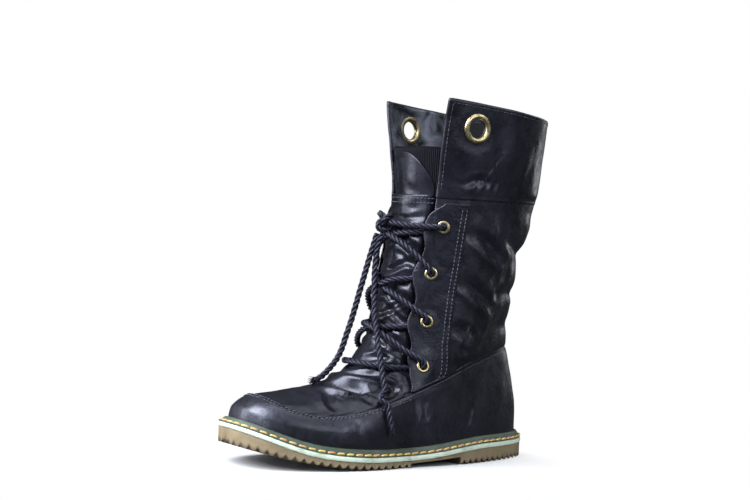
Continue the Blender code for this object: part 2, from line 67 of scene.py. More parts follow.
studio = bpy.context.scene
studio.view_settings.view_transform = "Standard"
camera_data = bpy.data.cameras.new("camera")
camera_data.sensor_width = SENSOR
camera_data.lens = FOCAL_PIXELS * SENSOR / PHOTO_WIDTH
camera = bpy.data.objects.new("camera", camera_data)
studio.collection.objects.link(camera)
camera_axes = Matrix((CAMERA_RIGHT, CAMERA_UP, CAMERA_RIGHT.cross(CAMERA_UP))).transposed()
camera.matrix_world = Matrix.Translation(CAMERA_AT) @ camera_axes.to_4x4()
studio.camera = camera


def softbox(name, place, width, height, power, colour):
    """A rectangular light that faces the boot."""
    data = bpy.data.lights.new(name, "AREA")
    data.shape = "RECTANGLE"
    data.size = width
    data.size_y = height
    data.energy = power
    data.color = colour
    light = bpy.data.objects.new(name, data)
    light.location = place
    light.rotation_mode = "QUATERNION"
    light.rotation_quaternion = (BOOT_MIDDLE - Vector(place)).to_track_quat("-Z", "Y")
    studio.collection.objects.link(light)


softbox("key_softbox", (-1.45, -0.1, 1.3), 1.5, 1.3, 118.0, (0.93, 0.95, 1.0))
softbox("overhead_softbox", (0.1, -0.5, 1.9), 1.2, 1.0, 9.0, (0.95, 0.97, 1.0))
softbox("left_card", (-1.5, 0.95, 0.45), 0.8, 0.9, 16.0, (0.93, 0.95, 1.0))
softbox("front_card", (0.25, -2.0, 0.9), 1.2, 0.6, 10.0, (0.95, 0.97, 1.0))
softbox("low_card", (0.9, -1.5, 0.06), 1.8, 0.2, 0.5, (0.85, 0.92, 1.0))
softbox("high_card", (0.9, -0.9, 1.15), 0.7, 0.5, 4.0, (0.93, 0.95, 1.0))
softbox("back_strip", (1.5, 0.35, 0.7), 0.4, 1.3, 3.0, (0.95, 0.98, 1.0))

sky = bpy.data.worlds.new("sky")
studio.world = sky
sky.use_nodes = True
sky_nodes = sky.node_tree.nodes
sky_links = sky.node_tree.links
sky_direction = sky_nodes.new("ShaderNodeTexCoord")
sky_side = sky_nodes.new("ShaderNodeVectorMath")
sky_side.operation = "DOT_PRODUCT"
sky_side.inputs[1].default_value = SKY_BRIGHT_SIDE
sky_strength = sky_nodes.new("ShaderNodeMapRange")
sky_strength.inputs["From Min"].default_value = SKY_EDGE
sky_strength.inputs["To Min"].default_value = SKY_DIM
sky_strength.inputs["To Max"].default_value = SKY_BRIGHT
sky_links.new(sky_direction.outputs["Generated"], sky_side.inputs[0])
sky_links.new(sky_side.outputs["Value"], sky_strength.inputs["Value"])
sky_links.new(sky_strength.outputs["Result"], sky_nodes["Background"].inputs["Strength"])
sky_nodes["Background"].inputs["Color"].default_value = SKY_COLOUR


def stage_disc(name, rings):
    """A round sheet through rings of (radius, height)."""
    sides = SWEEP_SIDES
    points = []
    for radius, height in rings:
        for i in range(sides):
            a = 2 * math.pi * i / sides
            points.append((radius * math.cos(a), radius * math.sin(a), height))
    faces = [tuple(range(sides))]
    for r in range(len(rings) - 1):
        for i in range(sides):
            k = (i + 1) % sides
            faces.append((r * sides + i, (r + 1) * sides + i, (r + 1) * sides + k, r * sides + k))
    mesh = bpy.data.meshes.new(name)
    mesh.from_pydata(points, [], faces)
    made = bpy.data.objects.new(name, mesh)
    studio.collection.objects.link(made)
    return made


floor = stage_disc("sweep_floor", ((0.5, 0.0), (1.5, 0.0), (SWEEP_RADIUS, 0.0)))
floor_paint = bpy.data.materials.new("sweep_paper")
floor_paint.use_nodes = True
paper_nodes = floor_paint.node_tree.nodes
paper_links = floor_paint.node_tree.links
paper = paper_nodes["Principled BSDF"]
paper.inputs["Base Color"].default_value = PAPER_GREY
paper.inputs["Roughness"].default_value = 0.55
paper_glow = paper_nodes.new("ShaderNodeEmission")
paper_glow.inputs["Color"].default_value = WHITE
paper_place = paper_nodes.new("ShaderNodeTexCoord")
paper_reach = paper_nodes.new("ShaderNodeVectorMath")
paper_reach.operation = "DISTANCE"
paper_reach.inputs[1].default_value = PAPER_MIDDLE
paper_fade = paper_nodes.new("ShaderNodeMapRange")
paper_fade.inputs["From Min"].default_value = PAPER_SHADED
paper_fade.inputs["From Max"].default_value = PAPER_BURNT_OUT
paper_mix = paper_nodes.new("ShaderNodeMixShader")
paper_links.new(paper_place.outputs["Object"], paper_reach.inputs[0])
paper_links.new(paper_reach.outputs["Value"], paper_fade.inputs["Value"])
paper_links.new(paper_fade.outputs["Result"], paper_mix.inputs["Fac"])
paper_links.new(paper.outputs["BSDF"], paper_mix.inputs[1])
paper_links.new(paper_glow.outputs["Emission"], paper_mix.inputs[2])
paper_links.new(paper_mix.outputs["Shader"], paper_nodes["Material Output"].inputs["Surface"])
floor.data.materials.append(floor_paint)
floor.visible_glossy = False

backdrop_rings = []
for row in reversed(range(BACKDROP_ROWS)):
    a = row * BACKDROP_STEP
    backdrop_rings.append((SWEEP_RADIUS * math.cos(a), SWEEP_RADIUS * math.sin(a)))
backdrop = stage_disc("backdrop", backdrop_rings)
backdrop_paint = bpy.data.materials.new("backdrop_white")
backdrop_paint.use_nodes = True
backdrop_glow = backdrop_paint.node_tree.nodes.new("ShaderNodeEmission")
backdrop_glow.inputs["Color"].default_value = WHITE
backdrop_paint.node_tree.links.new(
    backdrop_glow.outputs["Emission"], backdrop_paint.node_tree.nodes["Material Output"].inputs["Surface"]
)
backdrop.data.materials.append(backdrop_paint)
backdrop.visible_diffuse = False
backdrop.visible_glossy = False
backdrop.visible_shadow = False

# Last: the foot form that the boot is pulled over, as a table of sections from the sole to the rim.
# Every piece of the upper and the sole's outline are read from it by level, turn round the leg and lift.
MM = 0.001
Section = namedtuple(
    "Section",
    "name front_u front_z back_u back_z dip ball waist heel front_round back_round bend throat",
)
LAST = (
    Section("feather", 267, 33.5, 5, 18.5, -11, 45.5, 34, 31, 2.6, 2.3, 5, 50),
    Section("wall", 264.0, 44.0, 8, 46, -15, 47.5, 36.5, 32.5, 2.7, 2.3, 5, 50),
    Section("panel seam", 249.5, 52.3, 18, 89, -20, 42, 38, 31, 3.2, 2.2, 4, 50),
    Section("apron", 226, 56, 18.5, 93.5, -16, 41, 38, 31, 2.8, 2.2, 3, 50),
    Section("vamp", 192, 62.3, 18.5, 98, -11, 41, 38.5, 31, 2.4, 2.2, 2, 50),
    Section("throat", 167, 77, 18, 106, -6, 41, 39.5, 32, 2.2, 2.2, 1, 50),
    Section("instep", 151, 102, 17, 119, -2, 41.5, 41, 34.5, 2.1, 2.2, 0, 45),
    Section("ankle", 142, 134, 15.5, 143, 0, 42, 43, 38, 2.1, 2.2, 0, 41),
    Section("shin", 136, 173, 10, 176, 0, 44, 45, 42, 2.1, 2.2, 0, 39.5),
    Section("cuff seam", 131, 212, 3, 211, 0, 45.5, 46, 44, 2.2, 2.2, 0, 42),
    Section("collar", 133, 251, -1.5, 245, 0, 46.5, 47.5, 45, 2.7, 2.3, 0, 46),
    Section("rim", 138, 290, -4.5, 277, 0, 48, 48.5, 46, 3.4, 2.4, 0, 52),
)
RIM_LEVEL = len(LAST) - 1.0
X_SHIFT = 135.25  # from the back of the heel to the middle of the boot
SOLE_FRONT = 276.0
OUTSOLE, MIDSOLE, WELT, GAP = 5.4, 3.6, 2.8, 0.3
SPRING_START, TOE_SPRING, SPRING_CURVE = 150.0, 17.5, 2.2
HEEL_RISE, HEEL_RISE_START, HEEL_RISE_RUN = 6.0, 140.0, 85.0
TOE_RISE, TOE_RISE_START, TOE_RISE_RUN = 6.2, 215.0, 65.0
DIP_PEAK, DIP_RISE, DIP_FALL = 0.3, 0.9, 2.6
BALL_END, WAIST_END, WIDTH_RUN = 0.25, 0.55, 0.3
BEND_WAVE = 1.6 * math.pi  # the foot's inward curve, from toe to heel


def smooth_step(t):
    t = np.clip(t, 0.0, 1.0)
    return t * t * (3.0 - 2.0 * t)


def unit(vectors):
    return vectors / np.maximum(np.linalg.norm(vectors, axis=-1, keepdims=True), 1e-9)


def last_column(name, level):
    """A column of the table at any level, on a smooth curve through the rows."""
    values = np.array([getattr(row, name) for row in LAST], float)
    end = len(values) - 1
    row = np.clip(np.floor(level).astype(int), 0, end - 1)
    t = level - row
    low, high = values[row], values[row + 1]
    slope_low = (high - values[np.maximum(row - 1, 0)]) / np.where(row > 0, 2, 1)
    slope_high = (values[np.minimum(row + 2, end)] - low) / np.where(row + 1 < end, 2, 1)
    rise = high - low
    square = 3 * rise - 2 * slope_low - slope_high
    cube = slope_low + slope_high - 2 * rise
    return low + t * (slope_low + t * (square + t * cube))


def spring(u):
    """Height of the sole's curve over the floor."""
    return TOE_SPRING * np.maximum(0.0, (u - SPRING_START) / (SOLE_FRONT - SPRING_START)) ** SPRING_CURVE


def sole_top(u):
    """Height of the top of the welt."""
    heel = HEEL_RISE * smooth_step((HEEL_RISE_START - u) / HEEL_RISE_RUN)
    toe = TOE_RISE * smooth_step((u - TOE_RISE_START) / TOE_RISE_RUN)
    return OUTSOLE + MIDSOLE + WELT + 2 * GAP + spring(u) + heel + toe


def last_point(level, turn):
    """Points of the upper's outer wall."""
    level, turn = np.broadcast_arrays(np.asarray(level, float), np.asarray(turn, float))
    c, s = np.cos(np.radians(turn)), np.sin(np.radians(turn))
    power = np.where(c > 0, last_column("front_round", level), last_column("back_round", level))
    reach = (np.abs(c) ** power + np.abs(s) ** power) ** (1.0 / power)
    back = (1.0 - c / reach) / 2
    ball, waist, heel = (last_column(name, level) for name in ("ball", "waist", "heel"))
    half = ball + (waist - ball) * smooth_step((back - BALL_END) / WIDTH_RUN)
    half = half + (heel - waist) * smooth_step((back - WAIST_END) / WIDTH_RUN)
    front_u, front_z = last_column("front_u", level), last_column("front_z", level)
    u = front_u + (last_column("back_u", level) - front_u) * back
    y = -half * s / reach + last_column("bend", level) * np.cos(BEND_WAVE * back)
    sink = (back / DIP_PEAK) ** DIP_RISE * ((1.0 - back) / (1.0 - DIP_PEAK)) ** DIP_FALL
    z = front_z + (last_column("back_z", level) - front_z) * back + last_column("dip", level) * sink
    z = z + (1.0 - np.minimum(level, 1.0)) * (sole_top(u) + GAP - z)
    return np.stack((X_SHIFT - u, y, z), -1)


# Outsole: one moulding of matt tan rubber with a saw-tooth tread under the heel and the forefoot
# and a plain arch between them. It is glued under the midsole, a little narrower than it.
WELT_MARGIN, TOE_MARGIN = 6.5, 9.0
TREAD_PITCH, TREAD_LAND, TREAD_DEPTH = 7.0, 2.2, 3.2
HEEL_BREAST, TREAD_FRONT, ARCH_HEIGHT = 88.0, 138.0, 6.0
OUTSOLE_INSET = 0.6
OUTSOLE_SIDE = ((0.0, 0.99), (0.1, 1.0), (0.35, 0.992), (0.65, 0.99), (0.9, 0.998), (1.0, 0.99))
OUTSOLE_STEP, OUTSOLE_ACROSS = 0.45, 15
TAN = (0.19, 0.15, 0.088, 1.0)
TAN_DARKER = (0.06, 0.045, 0.027, 1.0)


class Paint:
    """A material and short ways to add to its nodes."""

    def __init__(self, name, roughness, metallic=0.0, coat=0.0, coat_roughness=0.1, specular=0.5):
        self.material = bpy.data.materials.new(name)
        self.material.use_nodes = True
        self.nodes = self.material.node_tree.nodes
        self.links = self.material.node_tree.links
        self.shader = self.nodes["Principled BSDF"]
        self.shader.inputs["Roughness"].default_value = roughness
        self.shader.inputs["Metallic"].default_value = metallic
        self.shader.inputs["Coat Weight"].default_value = coat
        self.shader.inputs["Coat Roughness"].default_value = coat_roughness
        self.shader.inputs["Specular IOR Level"].default_value = specular
        self.place = self.nodes.new("ShaderNodeTexCoord")
        self.height = None

    def grain(self, scale, detail=2.0, stretch=(1.0, 1.0, 1.0), warp=0.0):
        """Soft noise with a cell size of 1 / scale metres."""
        mapping = self.nodes.new("ShaderNodeMapping")
        mapping.inputs["Scale"].default_value = stretch
        texture = self.nodes.new("ShaderNodeTexNoise")
        texture.inputs["Scale"].default_value = scale
        texture.inputs["Detail"].default_value = detail
        texture.inputs["Distortion"].default_value = warp
        self.links.new(self.place.outputs["Object"], mapping.inputs["Vector"])
        self.links.new(mapping.outputs["Vector"], texture.inputs["Vector"])
        return texture.outputs["Fac"]

    def pores(self, scale):
        texture = self.nodes.new("ShaderNodeTexVoronoi")
        texture.inputs["Scale"].default_value = scale
        self.links.new(self.place.outputs["Object"], texture.inputs["Vector"])
        return texture.outputs["Distance"]

    def mark(self, name):
        layer = self.nodes.new("ShaderNodeAttribute")
        layer.attribute_name = name
        return layer.outputs["Fac"]

    def spread(self, value, low, high, to_low=0.0, to_high=1.0):
        """Maps a range of a value to another, clamped."""
        made = self.nodes.new("ShaderNodeMapRange")
        made.inputs["From Min"].default_value = low
        made.inputs["From Max"].default_value = high
        made.inputs["To Min"].default_value = to_low
        made.inputs["To Max"].default_value = to_high
        self.links.new(value, made.inputs["Value"])
        return made.outputs["Result"]

    def combine(self, operation, first, second):
        """A value worked out from two, which are numbers or sockets."""
        made = self.nodes.new("ShaderNodeMath")
        made.operation = operation
        for socket, value in zip(made.inputs, (first, second)):
            if isinstance(value, float):
                socket.default_value = value
            else:
                self.links.new(value, socket)
        return made.outputs["Value"]

    def blend(self, amount, first, second):
        """A colour between two, which are colours or sockets."""
        made = self.nodes.new("ShaderNodeMix")
        made.data_type = "RGBA"
        for name, value in (("A_Color", first), ("B_Color", second)):
            socket = next(s for s in made.inputs if s.identifier == name)
            if isinstance(value, tuple):
                socket.default_value = value
            else:
                self.links.new(value, socket)
        self.links.new(amount, made.inputs["Factor"])
        return next(s for s in made.outputs if s.identifier == "Result_Color")

    def colour(self, value):
        self.links.new(value, self.shader.inputs["Base Color"])

    def rough(self, value):
        self.links.new(value, self.shader.inputs["Roughness"])

    def relief(self, value, depth, strength):
        """Adds a bump of the given depth in millimetres on top of the earlier ones."""
        bump = self.nodes.new("ShaderNodeBump")
        bump.inputs["Distance"].default_value = depth * MM
        bump.inputs["Strength"].default_value = strength
        self.links.new(value, bump.inputs["Height"])
        if self.height is not None:
            self.links.new(self.height, bump.inputs["Normal"])
        self.height = bump.outputs["Normal"]
        self.links.new(self.height, self.shader.inputs["Normal"])


def add_piece(name, points, faces, paints, nodes=(), paint_of_face=None, marks=None, sharp=None):
    """One smooth mesh that rides on the boot and stands for the named solids; sharp is an angle."""
    mesh = bpy.data.meshes.new(name)
    faces = faces.tolist() if isinstance(faces, np.ndarray) else faces
    mesh.from_pydata(points * MM, [], [tuple(face) for face in faces])
    for paint in paints:
        mesh.materials.append(paint.material)
    if paint_of_face is not None:
        mesh.polygons.foreach_set("material_index", np.asarray(paint_of_face, np.int32))
    for mark, values in (marks or {}).items():
        layer = mesh.attributes.new(mark, "FLOAT", "POINT")
        layer.data.foreach_set("value", np.asarray(values, np.float32))
    mesh.shade_smooth()
    if sharp is not None:
        mesh.set_sharp_from_angle(angle=math.radians(sharp))
    mesh.update()
    made = bpy.data.objects.new(name, mesh)
    studio.collection.objects.link(made)
    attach(made, "root")
    if nodes:
        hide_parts(*nodes)
    return made


def grid_faces(rows, cols, closed=False, base=0):
    """Quads over a grid of points, the last column joined to the first where it is closed."""
    index = base + np.arange(rows * cols).reshape(rows, cols)
    right = np.roll(index, -1, 1) if closed else index[:, 1:]
    left = index if closed else index[:, :-1]
    return np.stack((left[:-1], right[:-1], right[1:], left[1:]), -1).reshape(-1, 4)


def outline(margin, height, count=480):
    """A loop round the sole, set out from the upper's lowest section by a margin."""
    turn = np.linspace(0.0, 360.0, count, endpoint=False)
    edge = last_point(0.0, turn)
    along = last_point(0.0, turn + 0.5) - last_point(0.0, turn - 0.5)
    out = unit(np.stack((along[:, 1], -along[:, 0]), -1))
    wider = np.maximum(0.0, np.cos(np.radians(turn))) ** 2 * (TOE_MARGIN - WELT_MARGIN) / WELT_MARGIN
    reach = margin * (1.0 + wider) if margin > 0 else margin * np.ones(count)
    flat = edge[:, :2] + reach[:, None] * out
    return np.concatenate((flat, height(X_SHIFT - flat[:, 0])[:, None]), 1)


def tread(u, y):
    """Height of the outsole's underside along a line, whose own length spaces the teeth."""
    along = (u - HEEL_BREAST) / (TREAD_FRONT - HEEL_BREAST)
    arch = ARCH_HEIGHT + (TREAD_DEPTH - ARCH_HEIGHT) * along
    way = np.concatenate(((0.0,), np.cumsum(np.hypot(np.diff(u), np.diff(y)))))
    heel_end, front_start = np.interp((HEEL_BREAST, TREAD_FRONT), u, way)
    start = np.where(u <= HEEL_BREAST, heel_end - way, way - front_start)
    beyond = start % TREAD_PITCH - TREAD_LAND
    notch = TREAD_PITCH - TREAD_LAND
    teeth = np.where(beyond > 0, TREAD_DEPTH * (1.0 - np.abs(2.0 * beyond / notch - 1.0)), 0.0)
    return np.where((u > HEEL_BREAST) & (u < TREAD_FRONT), arch, spring(u) + teeth)


tan_rubber = Paint("tan_rubber", 0.62, specular=0.35)
tan_dirt = tan_rubber.grain(55.0, 5.0, warp=0.6)
tan_smear = tan_rubber.grain(38.0, 3.0)
tan_low = tan_rubber.mark("low")
# The tan darkens in noise patches of dirt, and towards the bottom edge and on the underside, where the low
# mark is set.
tan_patch = tan_rubber.combine("MULTIPLY", tan_rubber.spread(tan_dirt, 0.45, 0.78), 0.45)
tan_darkened = tan_rubber.combine("MAXIMUM", tan_patch, tan_low)
tan_rubber.colour(tan_rubber.blend(tan_darkened, TAN, TAN_DARKER))
tan_rubber.rough(tan_rubber.spread(tan_dirt, 0.3, 0.8, 0.5, 0.75))
tan_rubber.relief(tan_smear, 0.35, 0.6)
tan_rubber.relief(tan_rubber.grain(1400.0, 2.0), 0.06, 0.6)


def make_outsole():
    edge = outline(WELT_MARGIN - OUTSOLE_INSET, sole_top, 2400)
    half = len(edge) // 2
    lateral = edge[: half + 1][::-1]
    medial = np.concatenate((edge[half:], edge[:1]))
    back, front = X_SHIFT - edge[:, 0].max(), X_SHIFT - edge[:, 0].min()
    ends = 0.5 - 0.5 * np.cos(np.linspace(0.0, np.pi, 300))
    u = np.concatenate((back + (front - back) * ends, np.arange(back + 4.0, front - 4.0, OUTSOLE_STEP)))
    for step in (-0.02, 0.02):
        u = np.append(u, (HEEL_BREAST + step, TREAD_FRONT + step))
    u = np.unique(np.clip(u, back + 0.02, front - 0.02))
    x = X_SHIFT - u
    right = np.interp(u, X_SHIFT - lateral[:, 0], lateral[:, 1])
    left = np.interp(u, X_SHIFT - medial[:, 0], medial[:, 1])
    low_right, low_left, low = tread(u, right), tread(u, left), tread(u, 0.0 * u)
    high = sole_top(u) - WELT - MIDSOLE - 2 * GAP
    across = np.linspace(0.0, 1.0, OUTSOLE_ACROSS)[1:-1]
    edge_width = OUTSOLE_SIDE[0][1]
    ring, darker_low = [], []
    # The low mark darkens the tan on the underside and up the lowest third of the side.
    for rise, width in OUTSOLE_SIDE:
        ring.append((right * width, low_right + (high - low_right) * rise))
        darker_low.append(max(0.0, 1.0 - 3.0 * rise))
    for t in across:
        ring.append((edge_width * (right + (left - right) * t), high))
        darker_low.append(0.0)
    for rise, width in reversed(OUTSOLE_SIDE):
        ring.append((left * width, low_left + (high - low_left) * rise))
        darker_low.append(max(0.0, 1.0 - 3.0 * rise))
    for t in across:
        ring.append((edge_width * (left + (right - left) * t), low))
        darker_low.append(1.0)
    points = np.stack([np.stack((x, y, z), -1) for y, z in ring], 1).reshape(-1, 3)
    count = len(ring)
    faces = grid_faces(len(u), count, closed=True)[:, ::-1].tolist()
    faces.append(list(range(count)))
    faces.append(list(reversed(range((len(u) - 1) * count, len(u) * count))))
    nodes = ("outsole",)
    marks = {"low": np.tile(darker_low, len(u))}
    add_piece("outsole_moulded", points, faces, [tan_rubber], nodes, marks=marks, sharp=28)


make_outsole()

# Midsole: a sheet of pale mint foam rubber between outsole and welt. Its cut edge shows as a thin band
# all round, and its raised middle fills the welt's opening.
MINT = (0.46, 0.56, 0.455, 1.0)
MINT_DUST = (0.27, 0.30, 0.235, 1.0)
WELT_INSIDE = -6.5


def below_top(drop):
    return lambda u: sole_top(u) - drop


def join_loops(loops, closed):
    """Points and faces through a stack of loops, joined end to start or closed across its ends."""
    points = np.concatenate(loops)
    count = len(loops[0])
    faces = grid_faces(len(loops), count, closed=True).tolist()
    if closed:
        last = (len(loops) - 1) * count
        for j in range(count):
            k = (j + 1) % count
            faces.append([last + j, last + k, k, j])
    else:
        for base, turned in ((0, True), ((len(loops) - 1) * count, False)):
            for j in range(count // 2):
                cap = [base + j, base + j + 1, base + count - j - 1, base + (count - j) % count]
                cap = list(dict.fromkeys(cap))
                if len(cap) > 2:
                    faces.append(cap[::-1] if turned else cap)
    return points, faces


mint_foam = Paint("mint_foam", 0.6, specular=0.35)
mint_dust = mint_foam.spread(mint_foam.grain(90.0, 5.0, warp=0.8), 0.45, 0.75)
mint_foam.colour(mint_foam.blend(mint_dust, MINT, MINT_DUST))
mint_foam.relief(mint_foam.grain(60.0, 3.0), 0.3, 0.5)
mint_foam.relief(mint_foam.grain(1500.0), 0.05, 0.5)


def add_layer(name, profile, closed, paint, node, count=480):
    """A layer of the sole, from a profile of (margin, drop) carried round its outline."""
    loops = [outline(margin, below_top(drop), count) for margin, drop in profile]
    points, faces = join_loops(loops, closed)
    add_piece(name, points, faces, [paint], (node,), sharp=40)


midsole_profile = (
    (WELT_MARGIN - 0.5, WELT + MIDSOLE + GAP),
    (WELT_MARGIN - 0.15, WELT + MIDSOLE * 0.88 + GAP),
    (WELT_MARGIN, WELT + MIDSOLE * 0.6 + GAP),
    (WELT_MARGIN - 0.05, WELT + MIDSOLE * 0.3 + GAP),
    (WELT_MARGIN - 0.3, WELT + MIDSOLE * 0.08 + GAP),
    (WELT_MARGIN - 0.8, WELT + GAP),
    (WELT_INSIDE - GAP, WELT + GAP),
    (WELT_INSIDE - GAP, 0.0),
)
add_layer("midsole_edge", midsole_profile, False, mint_foam, "midsole")

# Welt: a grey-green rubber strip that leans on the leather with its inner lip and slopes down to the
# sole's edge. A thick waxed yellow thread in a shallow groove stitches it through the midsole.
GREEN = (0.034, 0.054, 0.037, 1.0)
GREEN_PALE = (0.075, 0.098, 0.078, 1.0)
THREAD_YELLOW = (0.50, 0.37, 0.11, 1.0)
THREAD_ORANGE = (0.45, 0.235, 0.105, 1.0)
PANEL_STEP = 1.3
STITCH_MARGIN = 5.0
WELT_LIP = 2.6  # how far its inner lip stands up against the leather

green_welt = Paint("green_welt", 0.55, specular=0.4)
welt_pale = green_welt.spread(green_welt.grain(45.0, 4.0, warp=0.5), 0.4, 0.75)
green_welt.colour(green_welt.blend(welt_pale, GREEN, GREEN_PALE))
green_welt.relief(green_welt.grain(900.0, 3.0), 0.08, 0.6)
welt_profile = (
    (WELT_INSIDE, WELT),
    (WELT_MARGIN - 0.6, WELT),
    (WELT_MARGIN - 0.4, WELT - 0.3),
    (WELT_MARGIN - 0.45, WELT - 0.7),
    (WELT_MARGIN - 0.8, WELT - 1.0),
    (STITCH_MARGIN + 0.75, WELT - 1.1),
    (STITCH_MARGIN + 0.35, WELT - 0.95),
    (STITCH_MARGIN - 0.35, WELT - 1.25),
    (STITCH_MARGIN - 0.75, WELT - 2.0),
    (PANEL_STEP + 2.1, -1.1),
    (PANEL_STEP + 1.1, -WELT_LIP + 0.25),
    (PANEL_STEP + 0.6, -WELT_LIP),
    (PANEL_STEP - 0.4, -WELT_LIP + 0.2),
    (PANEL_STEP - 0.4, 0.0),
    (WELT_INSIDE, 0.0),
)
add_layer("welt_strip", welt_profile, True, green_welt, "welt")


def lengths(line):
    """How far along a line each of its points lies."""
    return np.concatenate(((0.0,), np.cumsum(np.linalg.norm(np.diff(line, axis=0), axis=1))))


def between(at, along, values):
    """Rows of values at places along a line."""
    return np.stack([np.interp(at, along, values[:, k]) for k in range(3)], -1)


def sew(name, rows, pitch, stitch, thick, proud, paint, slant=0.0):
    """Rows of stitches: each row is a line of points with its normals, each stitch a bent thread."""
    rings, sides = 7, 6
    all_points, all_faces, shade = [], [], []
    base = 0
    one = grid_faces(rings, sides, closed=True)
    for line, normals in rows:
        length = lengths(line)
        count = int(length[-1] / pitch)
        start = (np.arange(count) + 0.5) * length[-1] / count
        t = np.linspace(-0.5, 0.5, rings)
        along = start[:, None] + t[None, :] * stitch
        middle = between(along, length, line)
        normal = unit(between(along, length, normals))
        forward = unit(np.gradient(middle, axis=1))
        beside = unit(np.cross(normal, forward))
        arch = proud * (1.0 - 2.4 * (2.0 * t) ** 6)
        middle = middle + arch[None, :, None] * normal + slant * t[None, :, None] * beside
        girth = thick / 2 * (1.0 - 0.45 * (2.0 * t) ** 4)
        a = 2 * np.pi * np.arange(sides) / sides
        ring = np.cos(a)[:, None] * beside[:, :, None] + np.sin(a)[:, None] * normal[:, :, None]
        tube = middle[:, :, None] + girth[None, :, None, None] * ring
        all_points.append(tube.reshape(-1, 3))
        offsets = base + np.arange(count) * rings * sides
        all_faces.append((one[None] + offsets[:, None, None]).reshape(-1, 4))
        shade.append(np.repeat((np.arange(count) * 0.618) % 1.0, rings * sides))
        base += count * rings * sides
    points, faces = np.concatenate(all_points), np.concatenate(all_faces)
    add_piece(name, points, faces, [paint], marks={"tone": np.concatenate(shade)})


welt_thread = Paint("waxed_thread", 0.5, specular=0.4)
thread_tone = welt_thread.combine("ADD", welt_thread.mark("tone"), welt_thread.grain(30.0))
thread_wear = welt_thread.spread(thread_tone, 0.55, 1.3)
welt_thread.colour(welt_thread.blend(thread_wear, THREAD_YELLOW, THREAD_ORANGE))
welt_thread.relief(welt_thread.grain(900.0, 1.0, (1.0, 1.0, 4.0)), 0.25, 0.8)
stitch_line = outline(STITCH_MARGIN, below_top(WELT - 1.1), 1200)
stitch_line = np.concatenate((stitch_line, stitch_line[:1]))
stitch_out = outline(STITCH_MARGIN + 1.0, below_top(WELT - 0.6), 1200)
stitch_up = np.zeros_like(stitch_line)
stitch_up[:, 2] = 1.0
stitch_up[:-1] += 0.8 * unit(stitch_out - stitch_line[:-1])
stitch_up[-1] = stitch_up[0]
sew("welt_stitches", [(stitch_line, unit(stitch_up))], 7.7, 7.2, 1.8, 0.7, welt_thread, 0.5)

# Insole: a thin fibre board covered with brown cloth, cut to the inside of the upper and laid loose on
# top of the midsole.
CLOTH_BROWN = (0.075, 0.058, 0.043, 1.0)
CLOTH_DARK = (0.03, 0.024, 0.02, 1.0)
INSOLE_DEEP, INSOLE_INSET = 3.0, 3.4

insole_cloth = Paint("insole_cloth", 0.9, specular=0.2)
cloth_wear = insole_cloth.spread(insole_cloth.grain(26.0, 3.0), 0.35, 0.7)
insole_cloth.colour(insole_cloth.blend(cloth_wear, CLOTH_BROWN, CLOTH_DARK))
insole_cloth.relief(insole_cloth.grain(1100.0, 1.0, (1.0, 0.35, 1.0)), 0.15, 0.7)
insole_profile = (
    (-INSOLE_INSET - 0.4, -GAP),
    (-INSOLE_INSET, -GAP - 0.5),
    (-INSOLE_INSET, -GAP - INSOLE_DEEP + 0.8),
    (-INSOLE_INSET - 0.8, -GAP - INSOLE_DEEP),
    (-INSOLE_INSET - 12.0, -GAP - INSOLE_DEEP + 0.5),
)
add_layer("insole_board", insole_profile, False, insole_cloth, "insole", 240)

# Lower panel: a band of leather all round the foot, lasted over the toe and heel and stitched down into
# the welt. Its folded upper edge laps over the shaft behind and over the apron at the toe.
BLACK_BLUE = (0.003, 0.0031, 0.0048, 1.0)
SOFT_BLUE = (0.0078, 0.0083, 0.0135, 1.0)
SCUFF_AND_BULGE_GREY = (0.085, 0.09, 0.11, 1.0)
LINING_BLACK = (0.012, 0.011, 0.012, 1.0)
SHINE_TINT = (0.75, 0.79, 1.0, 1.0)
PANEL_LEVEL = 2.0
PANEL_THICK = 1.7
PANEL_GRID = (56, 400)

Fold = namedtuple("Fold", "path width depth lean")  # the path is a row of (level, turn)


def last_normal(level, turn, span=0.02):
    low, high = np.maximum(level - span, 0.0), np.minimum(level + span, RIM_LEVEL)
    up = last_point(high, turn) - last_point(low, turn)
    round_leg = last_point(level, turn + 0.5) - last_point(level, turn - 0.5)
    return unit(np.cross(round_leg, up))


def smooth_path(points, count):
    """A smooth curve through given points, in any number of columns."""
    points = np.array(points, float)
    before = np.concatenate((2 * points[:1] - points[1:2], points, 2 * points[-1:] - points[-2:-1]))
    place = np.linspace(0.0, len(points) - 1.0, count)
    row = np.minimum(place.astype(int), len(points) - 2)
    t = (place - row)[:, None]
    p0, p1, p2, p3 = (before[row + k] for k in range(4))
    bend = 2 * p0 - 5 * p1 + 4 * p2 - p3
    return p1 + 0.5 * t * (p2 - p0 + t * (bend + t * (3 * (p1 - p2) + p3 - p0)))


